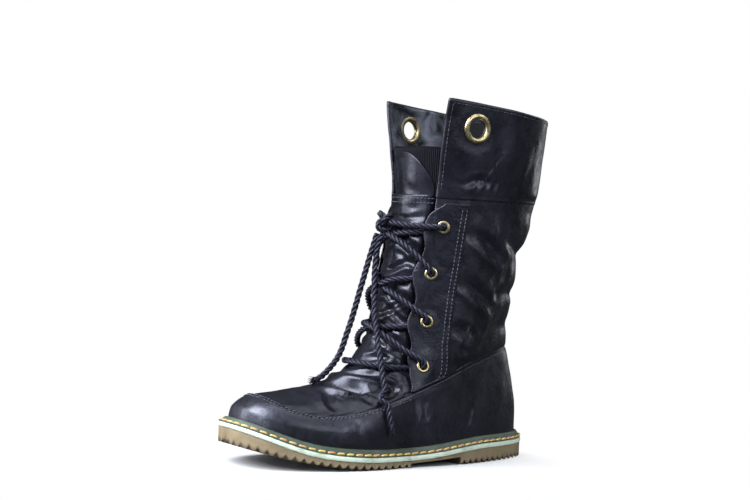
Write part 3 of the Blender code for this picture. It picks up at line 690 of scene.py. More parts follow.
def fold_lift(points, folds):
    """Lift that the listed folds give: a soft trough with a swell at each side, thin at its ends."""
    flat = points.reshape(-1, 3)
    lift = np.zeros(len(flat))
    for fold in folds:
        level, turn = smooth_path(fold.path, 13).T
        line = last_point(level, turn)
        out = last_normal(level, turn)
        reach = 3.6 * fold.width
        box = np.all((flat > line.min(0) - reach) & (flat < line.max(0) + reach), axis=1)
        spots = flat[box]
        near = np.full(len(spots), 1e9)
        along = np.zeros(len(spots))
        side = np.zeros(len(spots))
        for k in range(len(line) - 1):
            run = line[k + 1] - line[k]
            t = np.clip((spots - line[k]) @ run / (run @ run), 0.0, 1.0)
            away = spots - line[k] - t[:, None] * run
            distance = np.linalg.norm(away, axis=1)
            closer = distance < near
            near[closer] = distance[closer]
            along[closer] = (k + t[closer]) / (len(line) - 1)
            side[closer] = np.sign(away[closer] @ np.cross(run, out[k]))
        x = near / fold.width
        thin = np.sin(np.pi * along) ** 0.7
        swell = 0.5 * (1.0 + fold.lean * side) * np.exp(-(((x - 1.75) / 0.8) ** 2))
        lift[box] += fold.depth * thin * (swell - np.exp(-(x**2)))
    return lift.reshape(points.shape[:-1])


def ripple(points, size, seed):
    """Slow uneven swelling of soft leather, between about -1 and 1."""
    shift = Vector((seed * 3.7, seed * 1.9, seed * 5.3))
    flat = points.reshape(-1, 3) / size
    values = [noise.noise(Vector(p) + shift) for p in flat]
    return np.array(values).reshape(points.shape[:-1])


def crumple(points, size, seed):
    """Soft hills that meet in creases, between about -0.4 and 1."""
    return 2.0 * np.sqrt(ripple(points, size, seed) ** 2 + 0.006) - 0.6


def shell(outer, normal, thickness, keep=None, closed=False):
    """A closed sheet: the outer grid, an inner one behind it and a round edge between them."""
    rows, cols = outer.shape[:2]
    cells = grid_faces(rows, cols, closed)
    if keep is not None:
        cells = cells[keep.ravel()]
    flat, up = outer.reshape(-1, 3), normal.reshape(-1, 3)
    count = len(flat)
    starts, ends = cells.ravel(), np.roll(cells, -1, 1).ravel()
    rim_edge = ~np.isin(starts * count + ends, ends * count + starts)
    a, b = starts[rim_edge], ends[rim_edge]
    across = unit(np.cross(flat[b] - flat[a], up[a]))
    out = np.zeros_like(flat)
    np.add.at(out, a, across)
    np.add.at(out, b, across)
    out = unit(out)
    rim = np.unique(np.concatenate((a, b)))
    middle = flat - up * thickness / 2
    points = [flat]
    source = [np.arange(count)]
    chain = [np.arange(count)]
    base = count
    for angle in np.radians((45.0, 90.0, 135.0)):
        turned = np.cos(angle) * up[rim] + np.sin(angle) * out[rim]
        points.append(middle[rim] + turned * thickness / 2)
        source.append(rim)
        place = np.zeros(count, int)
        place[rim] = base + np.arange(len(rim))
        chain.append(place)
        base += len(rim)
    points.append(flat - up * thickness)
    source.append(np.arange(count))
    chain.append(base + np.arange(count))
    faces = [cells, chain[-1][cells[:, ::-1]]]
    inside = [np.zeros(len(cells), int), np.ones(len(cells), int)]
    for low, high in zip(chain, chain[1:]):
        faces.append(np.stack((low[b], low[a], high[a], high[b]), -1))
        inside.append(np.zeros(len(a), int))
    faces = np.concatenate(faces)
    used, packed = np.unique(faces, return_inverse=True)
    points = np.concatenate(points)[used]
    return points, packed.reshape(-1, 4), np.concatenate(inside), np.concatenate(source)[used]


def leather(name, roughness, coat, grain_depth, wrinkle_depth, specular=0.5):
    """Smooth finished leather: blue-black dye, fine pores, a soft gloss, and greyer where its mark is set,
    on strokes of wear and on the highest bulges.
    """
    paint = Paint(name, roughness, coat=coat, coat_roughness=0.26, specular=specular)
    paint.shader.inputs["Specular Tint"].default_value = SHINE_TINT
    cloud = paint.grain(24.0, 4.0, warp=0.7)
    dye = paint.blend(paint.spread(cloud, 0.36, 0.7), BLACK_BLUE, SOFT_BLUE)
    speckle = paint.grain(430.0, 6.0, (1.0, 1.0, 0.4), warp=0.6)
    greyed = paint.combine("MULTIPLY", paint.mark("scuffs_and_bulges"), paint.spread(speckle, 0.38, 0.7))
    paint.colour(paint.blend(greyed, dye, SCUFF_AND_BULGE_GREY))
    haze = paint.spread(paint.grain(130.0, 6.0, warp=0.8), 0.32, 0.7, roughness - 0.1, roughness + 0.16)
    paint.rough(paint.combine("ADD", haze, paint.combine("MULTIPLY", greyed, 0.18)))
    paint.relief(paint.grain(75.0, 4.0, warp=0.9), wrinkle_depth, 0.8)
    paint.relief(paint.grain(170.0, 5.0, warp=1.4), wrinkle_depth * 0.6, 0.8)
    paint.relief(paint.grain(420.0, 3.0, warp=1.2), wrinkle_depth * 0.16, 0.8)
    paint.relief(paint.pores(1050.0), grain_depth, 0.55)
    return paint


panel_leather = leather("panel_leather", 0.41, 0.22, 0.06, 0.42, 0.62)
lining = Paint("lining_cloth", 0.85, specular=0.2)
lining.colour(lining.blend(lining.spread(lining.grain(40.0, 3.0), 0.3, 0.7), LINING_BLACK, BLACK_BLUE))
lining.relief(lining.grain(1300.0, 1.0, (1.0, 1.0, 0.4)), 0.12, 0.7)

PANEL_FOLDS = (
    Fold(((1.75, 66), (1.3, 67), (0.8, 69)), 3.2, 0.5, 0.3),
    Fold(((1.7, 60), (1.2, 62), (0.7, 65)), 4.0, 0.45, -0.4),
    Fold(((1.75, 88), (1.4, 91), (1.0, 92)), 3.0, 0.55, 0.2),
    Fold(((1.7, 94), (1.25, 96), (0.95, 96)), 2.6, 0.5, -0.3),
    Fold(((1.6, 120), (1.0, 119), (0.6, 118)), 5.0, 0.5, 0.0),
    Fold(((1.5, 150), (1.1, 146), (0.8, 140)), 6.0, 0.55, 0.3),
    Fold(((1.8, -64), (1.3, -66), (0.7, -68)), 4.0, 0.55, 0.3),
    Fold(((1.7, -78), (1.2, -80), (0.8, -82)), 3.4, 0.5, -0.2),
    Fold(((1.6, -105), (1.1, -108), (0.7, -110)), 5.0, 0.6, 0.2),
    Fold(((1.5, -140), (1.1, -146), (0.7, -150)), 6.0, 0.5, 0.0),
)
PANEL_SCUFFS = (  # short strokes from one (level, turn) to another, with their width
    ((1.55, 66), (1.05, 68), 2.2),
    ((1.45, 70), (1.1, 71), 1.6),
    ((1.6, 91), (1.05, 93), 1.8),
    ((1.45, 95), (1.0, 96), 1.5),
    ((0.95, 118), (0.75, 116), 2.0),
    ((1.2, 20), (0.7, 30), 3.0),
    ((1.0, -30), (0.6, -42), 3.0),
)


def scuff_mark(points, scuffs):
    """How rubbed a point is: near 1 on the short strokes, fading in a few millimetres."""
    flat = points.reshape(-1, 3)
    greyed = np.zeros(len(flat))
    for start, finish, width in scuffs:
        a, b = last_point(*start), last_point(*finish)
        t = np.clip((flat - a) @ (b - a) / ((b - a) @ (b - a)), 0.0, 1.0)
        away = np.linalg.norm(flat - a - t[:, None] * (b - a), axis=1)
        greyed = np.maximum(greyed, np.exp(-((away / width) ** 2)))
    return greyed.reshape(points.shape[:-1])


def make_lower_panel():
    rows, cols = PANEL_GRID
    level = np.linspace(0.0, PANEL_LEVEL, rows)[:, None]
    turn = np.linspace(0.0, 360.0, cols, endpoint=False)[None, :]
    wall = last_point(level, turn)
    normal = last_normal(level, turn)
    normal[..., 2] *= smooth_step(level / 0.5)
    normal = unit(normal)
    bulge = fold_lift(wall, PANEL_FOLDS) + 0.35 * ripple(wall, 22.0, 1.0) + 0.3 * crumple(wall, 30.0, 7.0)
    bulge *= smooth_step(level / 0.35) * smooth_step((PANEL_LEVEL - level) / 0.25)
    behind = smooth_step((np.minimum(turn, 360.0 - turn) - 100.0) / 30.0)
    step = PANEL_STEP - (0.5 + 0.2 * behind) * smooth_step((level - 1.75) / 0.25)
    outer = wall + (step + bulge)[..., None] * normal
    outer[0, :, 2] -= 0.5
    points, faces, inside, source = shell(outer, normal, PANEL_THICK, closed=True)
    greyed = 0.75 * scuff_mark(wall, PANEL_SCUFFS).ravel()[source]
    paints = [panel_leather, lining]
    add_piece("lower_panel", points, faces, paints, ("upper",), inside, {"scuffs_and_bulges": greyed})


make_lower_panel()

# Front panel: apron and tongue cut as one piece of thin, shiny leather from the toe seam up to the top of
# the lacing. It is gathered by the lace, so it bulges between the crossings and folds over the instep.
APRON_LOW, TONGUE_TOP = 1.94, 8.985
TONGUE_THICK = 1.6
FRONT_GRID = (260, 156)
FRONT_TUCK = 9.0  # degrees that it runs on under the quarters
EYELETS = ((8.35, 50.5), (7.4, 48.0), (6.3, 53.0), (4.95, 64.0))  # level and turn, from the top
QUARTER_FRONT = ((2.0, 91.0), (3.0, 82.5), (3.6, 76.0), (4.2, 68.0), (4.64, 61.5), (5.13, 55.0))
CROSSING_LEVELS = (8.17, 7.12, 6.14)  # where a pair of laces cross over the tongue
BAR_LEVEL = 5.0


def eyelet_line(level):
    """Turn of the row of eyelets at a level."""
    levels, turns = zip(*reversed(EYELETS))
    return np.interp(level, levels, turns)


def quarter_front(level):
    """Turn of the front edge of the shaft's sides, hidden under the eyestays above the instep."""
    levels, turns = zip(*QUARTER_FRONT)
    low = np.interp(level, levels, turns)
    return low + (eyelet_line(level) - 8.5 - low) * smooth_step((level - 4.9) / 0.5)


FRONT_FOLDS = (
    Fold(((3.86, 4), (4.05, 16), (4.1, 28), (4.0, 38), (3.8, 44)), 5.4, 5.2, 0.6),
    Fold(((4.62, 2), (4.7, 17), (4.74, 30), (4.7, 42)), 3.4, 3.2, 0.2),
    Fold(((4.62, -6), (4.7, -18), (4.75, -30), (4.8, -44)), 3.0, 2.2, 0.2),
    Fold(((4.05, -10), (4.2, -22), (4.1, -36), (3.9, -46)), 3.6, 2.2, 0.0),
    Fold(((3.62, 18), (3.5, 30), (3.1, 42), (2.7, 52)), 3.4, 1.4, 0.5),
    Fold(((3.75, 47), (3.4, 56), (2.9, 66)), 2.4, 1.0, -0.4),
    Fold(((4.4, 46), (4.2, 56), (3.6, 64), (2.9, 72)), 3.2, 2.2, 0.5),
    Fold(((4.75, 44), (4.62, 52), (4.3, 60)), 2.4, 1.3, 0.3),
    Fold(((3.6, -16), (3.3, -32), (2.8, -46)), 3.4, 1.0, 0.3),
    Fold(((4.2, -48), (3.7, -60), (3.0, -70)), 2.8, 1.4, -0.3),
    Fold(((3.2, -4), (3.35, 10), (3.2, 24)), 4.0, 0.7, 0.0),
    Fold(((2.75, -16), (2.8, 0), (2.7, 14)), 5.0, 0.35, 0.0),
    Fold(((5.25, -12), (5.2, 6), (5.3, 24), (5.45, 40)), 3.4, 1.7, -0.4),
    Fold(((5.85, 6), (5.62, 26), (5.5, 42)), 2.6, 1.6, 0.5),
    Fold(((5.8, -8), (5.6, -26), (5.5, -40)), 3.0, 1.6, 0.3),
    Fold(((6.45, -14), (6.5, 4), (6.72, 22), (6.9, 34)), 2.6, 1.5, 0.4),
    Fold(((6.72, 4), (6.6, 16), (6.38, 30), (6.3, 38)), 2.4, 1.2, -0.3),
    Fold(((6.5, -10), (6.62, -24), (6.7, -36)), 2.8, 1.4, 0.2),
    Fold(((7.42, -12), (7.5, 6), (7.62, 22), (7.6, 34)), 2.6, 1.5, 0.4),
    Fold(((7.85, 8), (7.72, 20), (7.5, 33)), 2.4, 1.3, -0.5),
    Fold(((7.45, -10), (7.6, -24), (7.7, -34)), 2.8, 1.3, 0.2),
    Fold(((8.5, -24), (8.55, -4), (8.52, 16), (8.56, 34)), 2.8, 0.9, 0.4),
    Fold(((8.75, -16), (8.72, 6), (8.78, 28)), 3.2, 0.6, -0.3),
)

front_leather = leather("front_leather", 0.27, 0.15, 0.03, 0.1, 0.31)


def lace_dent(points):
    """How deep the laces press into the tongue along their way over it."""
    folds = []
    for number, middle in enumerate(CROSSING_LEVELS):
        upper, lower = EYELETS[number], EYELETS[number + 1]
        for side in (1, -1):
            path = (
                (lower[0] + 0.1, side * (lower[1] - 10)),
                (lower[0] + 0.66 * (middle - lower[0]), side * 0.55 * lower[1]),
                (middle, 0.0),
                (upper[0] - 0.1, -side * (upper[1] - 6)),
            )
            folds.append(Fold(path, 4.2, 1.8, 0.0))
    folds.append(Fold(((BAR_LEVEL, -58), (BAR_LEVEL - 0.03, 0), (BAR_LEVEL, 58)), 4.2, 1.8, 0.0))
    return fold_lift(points, folds)


def make_front_panel():
    rows, cols = FRONT_GRID
    level = np.linspace(APRON_LOW, TONGUE_TOP, rows)[:, None]
    edge = quarter_front(level)
    turn = (edge + FRONT_TUCK) * np.linspace(-1.0, 1.0, cols)[None, :]
    wall = last_point(level, turn)
    normal = last_normal(level, turn)
    sunk = -1.6 * smooth_step((level - 4.2) / 0.9)
    deep = 2.0 + 4.5 * smooth_step((level - 4.6) / 0.7)
    deep = deep * smooth_step((np.abs(turn) - edge + FRONT_TUCK) / 12.0) * smooth_step((level - 2.3) / 0.6)
    gather = np.sin(np.radians(turn) * 34.0) * np.exp(-(((level - 2.0) / 0.42) ** 2)) * 0.28
    soft = 0.5 * ripple(wall, 15.0, 2.0) + 0.3 * crumple(wall, 17.0, 8.0)
    bulge = fold_lift(wall, FRONT_FOLDS) + lace_dent(wall) + soft * smooth_step((level - 3.0) / 0.8)
    bulge = (bulge + gather) * smooth_step((level - 2.0) / 0.3)
    bulge *= 1.0 - 0.6 * smooth_step((level - 8.7) / 0.25)
    outer = wall + (sunk - deep + bulge)[..., None] * normal
    points, faces, inside, source = shell(outer, normal, TONGUE_THICK)
    # Greyer where the leather bulges highest, set from the fold height.
    greyed = 0.21 * smooth_step((bulge - 0.6) / 1.6).ravel()[source]
    paints = [front_leather, lining]
    nodes = ("upper", "tongue")
    add_piece("front_panel", points, faces, paints, nodes, inside, {"scuffs_and_bulges": greyed})


make_front_panel()

# Quarters: the two sides and the back of the shaft in one supple sheet of leather, sewn under the lower
# panel and the cuff. The shaft has sagged a little, so it folds round the ankle and behind the heel.
QUARTER_LOW, QUARTER_HIGH = 1.95, 9.02
QUARTER_THICK = 1.9
QUARTER_GRID = (190, 210)
QUARTER_SPAN = 0.6  # levels that its normals are taken over, past the turn of the wall at the panel seam
EYELET_CLEAR = 3.7

QUARTER_FOLDS = (
    Fold(((7.95, 134), (7.98, 120), (8.15, 106)), 5.0, 2.0, -0.3),
    Fold(((7.75, 132), (7.45, 120), (6.95, 113), (6.4, 112)), 6.0, 2.0, -0.4),
    Fold(((6.75, 132), (6.8, 118), (6.95, 104)), 5.0, 1.8, 0.2),
    Fold(((5.9, 136), (5.7, 122), (5.35, 108)), 6.0, 2.0, 0.3),
    Fold(((5.15, 136), (4.95, 120), (4.7, 108)), 4.6, 1.5, 0.2),
    Fold(((8.35, 70), (8.12, 84), (7.85, 98), (7.6, 114)), 5.0, 2.2, 0.4),
    Fold(((7.3, 70), (7.1, 83), (6.8, 96), (6.45, 112)), 5.0, 2.2, 0.4),
    Fold(((6.15, 74), (5.9, 85), (5.55, 97)), 4.6, 1.8, 0.4),
    Fold(((4.2, 90), (3.75, 106), (3.5, 124)), 4.2, 1.4, 0.3),
    Fold(((5.6, 86), (5.1, 92), (4.6, 100)), 3.4, 1.2, 0.3),
    Fold(((6.6, 92), (6.1, 98), (5.4, 106)), 4.2, 1.0, -0.4),
    Fold(((8.6, 80), (8.2, 88), (7.95, 98)), 5.0, 0.9, 0.3),
    Fold(((8.75, 104), (8.4, 112), (8.1, 124)), 5.0, 0.8, -0.2),
    Fold(((7.4, -160), (7.5, -136), (7.6, -112), (7.8, -96)), 4.8, 2.0, 0.3),
    Fold(((6.85, -158), (6.7, -134), (6.8, -110)), 5.0, 1.5, -0.3),
    Fold(((6.05, -156), (5.8, -134), (5.9, -112), (6.1, -96)), 4.4, 1.8, 0.3),
    Fold(((5.15, -150), (5.05, -130), (5.0, -110)), 3.8, 1.5, 0.4),
    Fold(((7.2, -78), (6.5, -83), (5.6, -86)), 5.0, 1.1, -0.4),
    Fold(((8.5, -84), (8.2, -96), (8.1, -112)), 5.0, 0.9, 0.2),
    Fold(((4.5, -146), (4.5, -126), (4.6, -108)), 3.0, 0.9, 0.0),
    Fold(((6.65, 178), (6.5, 190), (6.55, 202)), 4.0, 1.2, 0.0),
)
BACK_SAG = (  # a level, and how far the back line stands out there; it has sunk in where less than 0
    (2.0, 0.0),
    (3.4, 0.0),
    (4.6, -1.4),
    (5.43, -4.0),
    (6.0, -3.1),
    (6.46, -2.3),
    (6.72, -3.9),
    (7.0, -2.2),
    (7.24, -2.2),
    (7.55, -3.9),
    (7.74, -5.4),
    (7.88, -3.3),
    (8.05, -0.8),
    (8.36, 0.6),
    (8.68, -0.6),
    (9.0, 0.0),
)
QUARTER_SCUFFS = (
    ((8.6, 92), (8.3, 97), 1.6),
    ((7.2, 100), (6.9, 108), 2.2),
    ((6.0, 88), (5.7, 92), 1.8),
)
quarter_leather = leather("quarter_leather", 0.35, 0.17, 0.06, 0.5, 0.55)


def punch(outer, seats, radius):
    """Opens round holes in a grid: drops the cells inside them and draws their edges to a circle."""
    flat = outer.reshape(-1, 3)
    cells = grid_faces(*outer.shape[:2])
    keep = np.ones(len(cells), bool)
    for level, turn in seats:
        centre, axis = last_point(level, turn), last_normal(level, turn)
        away = flat - centre
        away = away - (away @ axis)[:, None] * axis
        distance = np.linalg.norm(away, axis=1)
        near = (distance < radius) & (np.linalg.norm(flat - centre, axis=1) < 3 * radius)
        dropped = near[cells].any(1)
        rim = np.setdiff1d(np.unique(cells[dropped]), np.flatnonzero(near))
        flat[rim] += (radius / distance[rim] - 1.0)[:, None] * away[rim]
        keep &= ~dropped
    return keep


def make_quarters():
    rows, cols = QUARTER_GRID
    level = np.linspace(QUARTER_LOW, QUARTER_HIGH, rows)[:, None]
    front = quarter_front(level)
    turn = front + (360.0 - 2 * front) * np.linspace(0.0, 1.0, cols)[None, :]
    wall = last_point(level, turn)
    normal = last_normal(level, turn, QUARTER_SPAN)
    bulge = fold_lift(wall, QUARTER_FOLDS) + 0.5 * ripple(wall, 34.0, 3.0)
    bulge = bulge + 2.0 * crumple(wall, 38.0, 4.0) + 0.3 * crumple(wall, 17.0, 9.0)
    round_back = np.minimum(turn, 360.0 - turn)
    behind = smooth_step((turn - 104.0) / 34.0) * smooth_step((232.0 - turn) / 34.0)
    sag_level, sag = smooth_path(BACK_SAG, 400).T
    drift = 0.2 * smooth_step((146.0 - round_back) / 30.0)
    bulge += behind * (np.interp(level - drift, sag_level, sag) - 0.72 * bulge)
    free = smooth_step((round_back - eyelet_line(level) - 14.0) / 12.0)
    free = free * smooth_step((level - 2.0) / 0.6) * smooth_step((9.0 - level) / 0.35)
    outer = wall + (bulge * free)[..., None] * normal
    seats = [(row, side * at) for row, at in EYELETS for side in (1, -1)]
    keep = punch(outer, seats, EYELET_CLEAR)
    points, faces, inside, source = shell(outer, normal, QUARTER_THICK, keep)
    greyed = 0.6 * scuff_mark(wall, QUARTER_SCUFFS)
    # Greyer on the strokes of wear and where the leather bulges highest.
    greyed = np.maximum(greyed, 0.3 * smooth_step((bulge * free - 0.7) / 1.2)).ravel()[source]
    paints = [quarter_leather, lining]
    add_piece("quarters", points, faces, paints, ("upper",), inside, {"scuffs_and_bulges": greyed})


make_quarters()

# Cuff: a deep band of doubled leather round the top of the shaft, open in front, with its edges turned in
# and sewn down along the rim and the opening. A large grommet is set near each front corner.
CUFF_LEVEL, CUFF_STEP, CUFF_THICK = 9.0, 1.0, 3.0
CUFF_GRID = (96, 250)
RIM_STITCHES, RIM_CORNER, SIDE_STITCHES_LOW, SIDE_STITCHES_HIGH = 10.915, 10.92, 9.1, 10.91
STITCH_INSET = 2.0  # degrees in from the front edges
GROMMET = (10.45, 69.0)
GROMMET_CLEAR = 8.7
# The cuff's inside keeps the dark leather colour at the back and is painted pale towards the front, as
# painted light where the light falls into the cuff.
FACING_DARK = (0.005, 0.0054, 0.0076, 1.0)
FACING_PAINTED_LIGHT = (0.24, 0.26, 0.33, 1.0)
THREAD_BLACK = (0.018, 0.019, 0.027, 1.0)
THREAD_GREY = (0.06, 0.063, 0.085, 1.0)

CUFF_FOLDS = (
    Fold(((9.2, 60), (9.32, 66), (9.38, 74), (9.3, 82)), 3.0, 0.9, 0.4),
    Fold(((9.12, 70), (9.3, 72), (9.5, 73)), 1.8, 0.6, 0.3),
    Fold(((9.12, 78), (9.28, 79), (9.42, 79)), 1.6, 0.5, -0.3),
    Fold(((9.12, 84), (9.26, 85), (9.4, 86)), 2.0, 0.5, 0.3),
    Fold(((9.3, 96), (9.8, 104), (10.4, 108)), 7.0, 0.9, 0.3),
    Fold(((9.2, 130), (9.8, 136), (10.5, 138)), 7.0, 0.8, -0.2),
    Fold(((9.25, -62), (9.5, -70), (9.7, -82)), 4.0, 0.8, 0.3),
    Fold(((9.2, -104), (9.8, -110), (10.4, -112)), 7.0, 0.9, 0.2),
    Fold(((9.2, -140), (9.9, -146), (10.6, -150)), 7.0, 0.8, 0.0),
    Fold(((10.9, 84), (10.5, 88), (10.0, 90)), 8.0, 0.8, 0.2),
    Fold(((10.85, -60), (10.4, -56), (9.95, -55)), 4.0, 1.0, 0.2),
)
CUFF_SCUFFS = (
    ((9.98, 91), (9.78, 86), 0.9),
    ((9.75, 85), (9.44, 77.5), 0.8),
    ((9.3, 72.5), (9.2, 73), 1.6),
    ((9.3, 78), (9.2, 78), 1.4),
)
cuff_leather = leather("cuff_leather", 0.32, 0.15, 0.06, 0.5, 0.37)
cuff_facing = Paint("cuff_facing", 0.5, specular=0.22)
facing_cloud = cuff_facing.spread(cuff_facing.grain(34.0, 4.0, warp=0.7), 0.4, 0.66)
# Painted light on the inside facing: pale in cloudy patches towards the front, where the front mark is set.
facing_painted_light = cuff_facing.combine("MULTIPLY", facing_cloud, cuff_facing.mark("front"))
cuff_facing.colour(cuff_facing.blend(facing_painted_light, FACING_DARK, FACING_PAINTED_LIGHT))
cuff_facing.relief(cuff_facing.grain(75.0, 4.0, warp=0.9), 0.4, 0.8)
dark_thread = Paint("dark_thread", 0.6, specular=0.4)
dark_thread.colour(dark_thread.blend(dark_thread.mark("tone"), THREAD_BLACK, THREAD_GREY))
dark_thread.relief(dark_thread.grain(1600.0, 1.0), 0.08, 0.6)


def throat(level):
    """Turn of the cuff's front edge."""
    return last_column("throat", level)


def stitch_row(level, turn, lift):
    """Points of a row at a lift over the wall, and its normals."""
    level, turn = np.broadcast_arrays(level, turn)
    across = last_normal(level, turn)
    return last_point(level, turn) + np.asarray(lift)[..., None] * across, across


def cuff_lift(level, turn):
    """How far the cuff's face stands off the wall; it lies flat round the grommets."""
    wall = last_point(level, turn)
    bulge = fold_lift(wall, CUFF_FOLDS) + 0.6 * ripple(wall, 34.0, 5.0) + 1.3 * crumple(wall, 40.0, 11.0)
    seat = last_point(*GROMMET)
    seat_far = last_point(GROMMET[0], -GROMMET[1])
    away = np.minimum(np.linalg.norm(wall - seat, axis=-1), np.linalg.norm(wall - seat_far, axis=-1))
    free = smooth_step((away - 12.0) / 10.0) * smooth_step((level - CUFF_LEVEL) / 0.15)
    return CUFF_STEP - 0.5 * smooth_step((9.25 - level) / 0.25) + bulge * free


def make_cuff():
    rows, cols = CUFF_GRID
    level = np.linspace(CUFF_LEVEL - 0.04, RIM_LEVEL - 0.03, rows)[:, None]
    front = throat(level)
    turn = front + (360.0 - 2 * front) * np.linspace(0.0, 1.0, cols)[None, :]
    wall = last_point(level, turn)
    normal = last_normal(level, turn)
    outer = wall + cuff_lift(level, turn)[..., None] * normal
    keep = punch(outer, [(GROMMET[0], side * GROMMET[1]) for side in (1, -1)], GROMMET_CLEAR)
    points, faces, inside, source = shell(outer, normal, CUFF_THICK, keep)
    marks = {
        "scuffs_and_bulges": 0.5 * scuff_mark(wall, CUFF_SCUFFS).ravel()[source],
        # The front mark places the painted light on the inside facing.
        "front": smooth_step((115.0 - np.minimum(turn, 360.0 - turn)) / 30.0).ravel()[source],
    }
    paints = [cuff_leather, cuff_facing]
    add_piece("cuff", points, faces, paints, ("upper",), inside, marks)
    corner = throat(RIM_CORNER) + STITCH_INSET
    rim = (np.full(500, RIM_STITCHES), np.linspace(corner, 360.0 - corner, 500))
    side_level = np.linspace(SIDE_STITCHES_LOW, SIDE_STITCHES_HIGH, 160)
    side_turn = throat(side_level) + STITCH_INSET
    lines = []
    for lift, flip in ((0.0, 1.0), (-CUFF_THICK, -1.0)):
        for row_level, row_turn in (rim, (side_level, side_turn), (side_level, -side_turn)):
            line, across = stitch_row(row_level, row_turn, cuff_lift(row_level, row_turn) + lift)
            lines.append((line, flip * across))
    sew("cuff_stitches", lines, 3.3, 2.5, 0.6, 0.04, dark_thread)


make_cuff()

# Eyestays: narrow strips with a round lobe at each eyelet, laid over the front edges of the quarters and
# held by two rows of stitches along their back edges.
EYESTAY_THICK, EYESTAY_LIFT = 1.2, 0.5
EYESTAY_FACE = EYESTAY_LIFT + EYESTAY_THICK
EYESTAY_GRID = (300, 34)
LOBE_REACH, LOBE_DEPTH = 12.5, 2.5
EYESTAY_LOW, EYESTAY_HIGH = 1.96, 8.84
EYESTAY_BACK = ((2.0, 105.0), (4.3, 88.0), (5.57, 75.8), (6.3, 71.8), (7.0, 70.0), (7.7, 69.2), (8.8, 67.6))
STITCH_ROWS = (1.9, 5.4)  # degrees in from the back edge
STITCH_ENDS = (2.9, 8.74)

eyestay_leather = leather("eyestay_leather", 0.31, 0.15, 0.06, 0.7, 0.32)


def eyestay_edges(level):
    """Front and back turn of an eyestay."""
    levels = [row for row, _ in reversed(EYELETS)]
    lobe = np.interp(level, levels, range(len(levels))) + np.maximum(level - levels[-1], 0.0)
    wavy = eyelet_line(level) - LOBE_REACH - LOBE_DEPTH * np.cos(2 * np.pi * lobe)
    plain = np.interp(level, *zip(*QUARTER_FRONT)) - 1.5
    front = plain + (wavy - plain) * smooth_step((level - 5.0) / 0.45)
    round_top = smooth_step((level - 8.5) / 0.36) ** 2 * 9.0
    return front + round_top, np.interp(level, *zip(*EYESTAY_BACK))


def make_eyestay(name, side, node):
    rows, cols = EYESTAY_GRID
    level = np.linspace(EYESTAY_LOW, EYESTAY_HIGH, rows)[:, None]
    front, back = eyestay_edges(level)
    share = np.linspace(0.0, 1.0, cols)[None, :]
    share = share if side > 0 else share[:, ::-1]
    turn = side * (front + (back - front) * share)
    wall = last_point(level, turn)
    normal = last_normal(level, turn)
    seats = [(row, side * at) for row, at in EYELETS]
    away = np.min([np.linalg.norm(wall - last_point(*seat), axis=-1) for seat in seats], axis=0)
    soft = 0.3 * ripple(wall, 14.0, 6.0) + 0.9 * crumple(wall, 26.0, 13.0) * np.sin(np.pi * share)
    lift = EYESTAY_FACE * smooth_step((level - 1.9) / 0.55)
    lift = lift + soft * smooth_step((away - 5.5) / 6.0)
    outer = wall + lift[..., None] * normal
    keep = punch(outer, seats, EYELET_CLEAR - 0.2)
    points, faces = shell(outer, normal, EYESTAY_THICK, keep)[:2]
    marks = {"scuffs_and_bulges": np.zeros(len(points))}
    add_piece(name, points, faces, [eyestay_leather], (node,), None, marks)
    row_level = np.linspace(*STITCH_ENDS, 400)
    row_back = eyestay_edges(row_level)[1]
    lines = [stitch_row(row_level, side * (row_back - inset), EYESTAY_FACE) for inset in STITCH_ROWS]
    sew(name + "_stitches", lines, 3.0, 2.3, 0.95, 0.2, dark_thread)


make_eyestay("eyestay_lateral_strip", 1, "eyestay_lateral")
make_eyestay("eyestay_medial_strip", -1, "eyestay_medial")

# Eyelets and grommets: turned rings of antique brass, rolled over on the face and clenched to a flat
# washer behind. The eyelets go through eyestay and quarter, the grommets through the cuff.
BRASS_LIGHT = (0.60, 0.52, 0.30, 1.0)
BRASS_DARK = (0.22, 0.165, 0.075, 1.0)
RING_SIDES = 56
Ring = namedtuple("Ring", "hole rim face back crown")
EYELET_RING = Ring(2.6, 5.2, EYESTAY_FACE, -2.1, 1.0)
GROMMET_RING = Ring(7.5, 12.0, CUFF_STEP, 0.95 - CUFF_THICK, 1.9)

antique_brass = Paint("antique_brass", 0.26, metallic=1.0)
brass_stain = antique_brass.spread(antique_brass.grain(160.0, 5.0, warp=0.6), 0.45, 0.72)
antique_brass.colour(antique_brass.blend(brass_stain, BRASS_LIGHT, BRASS_DARK))
antique_brass.rough(antique_brass.spread(antique_brass.grain(300.0, 4.0), 0.3, 0.7, 0.24, 0.42))
antique_brass.relief(antique_brass.grain(500.0, 3.0), 0.02, 0.5)


def turn_ring(node, level, turn, ring):
    """A rolled ring: a half-round face from rim to hole, a tube through the leather and a washer."""
    hole, rim, face, back, crown = ring
    centre, axis = last_point(level, turn), last_normal(level, turn)
    across = unit(np.cross(axis, (0.0, 0.0, 1.0)))
    upright = np.cross(across, axis)
    middle, half = (rim + hole) / 2, (rim - hole) / 2
    profile = [(face - 0.15, rim - 0.1)]
    for a in np.linspace(0.0, np.pi, 13):
        profile.append((face + crown * math.sin(a) ** 0.8, middle + half * math.cos(a)))
    tube = [(face - (face - back) * t, hole) for t in (0.3, 0.7, 1.0)]
    washer = rim - 0.9
    profile += tube + [(back - 0.45, hole + 0.35), (back - 0.55, middle), (back - 0.35, washer)]
    profile += [(back, washer), (back, hole + 0.7), (face - 0.15, hole + 0.7)]
    a = 2 * np.pi * np.arange(RING_SIDES) / RING_SIDES
    spoke = np.cos(a)[:, None] * across + np.sin(a)[:, None] * upright
    points, faces = join_loops([centre + lift * axis + radius * spoke for lift, radius in profile], True)
    faces = np.array(faces)[:, ::-1]
    add_piece(node + "_ring", points, faces, [antique_brass], (node,), sharp=50)


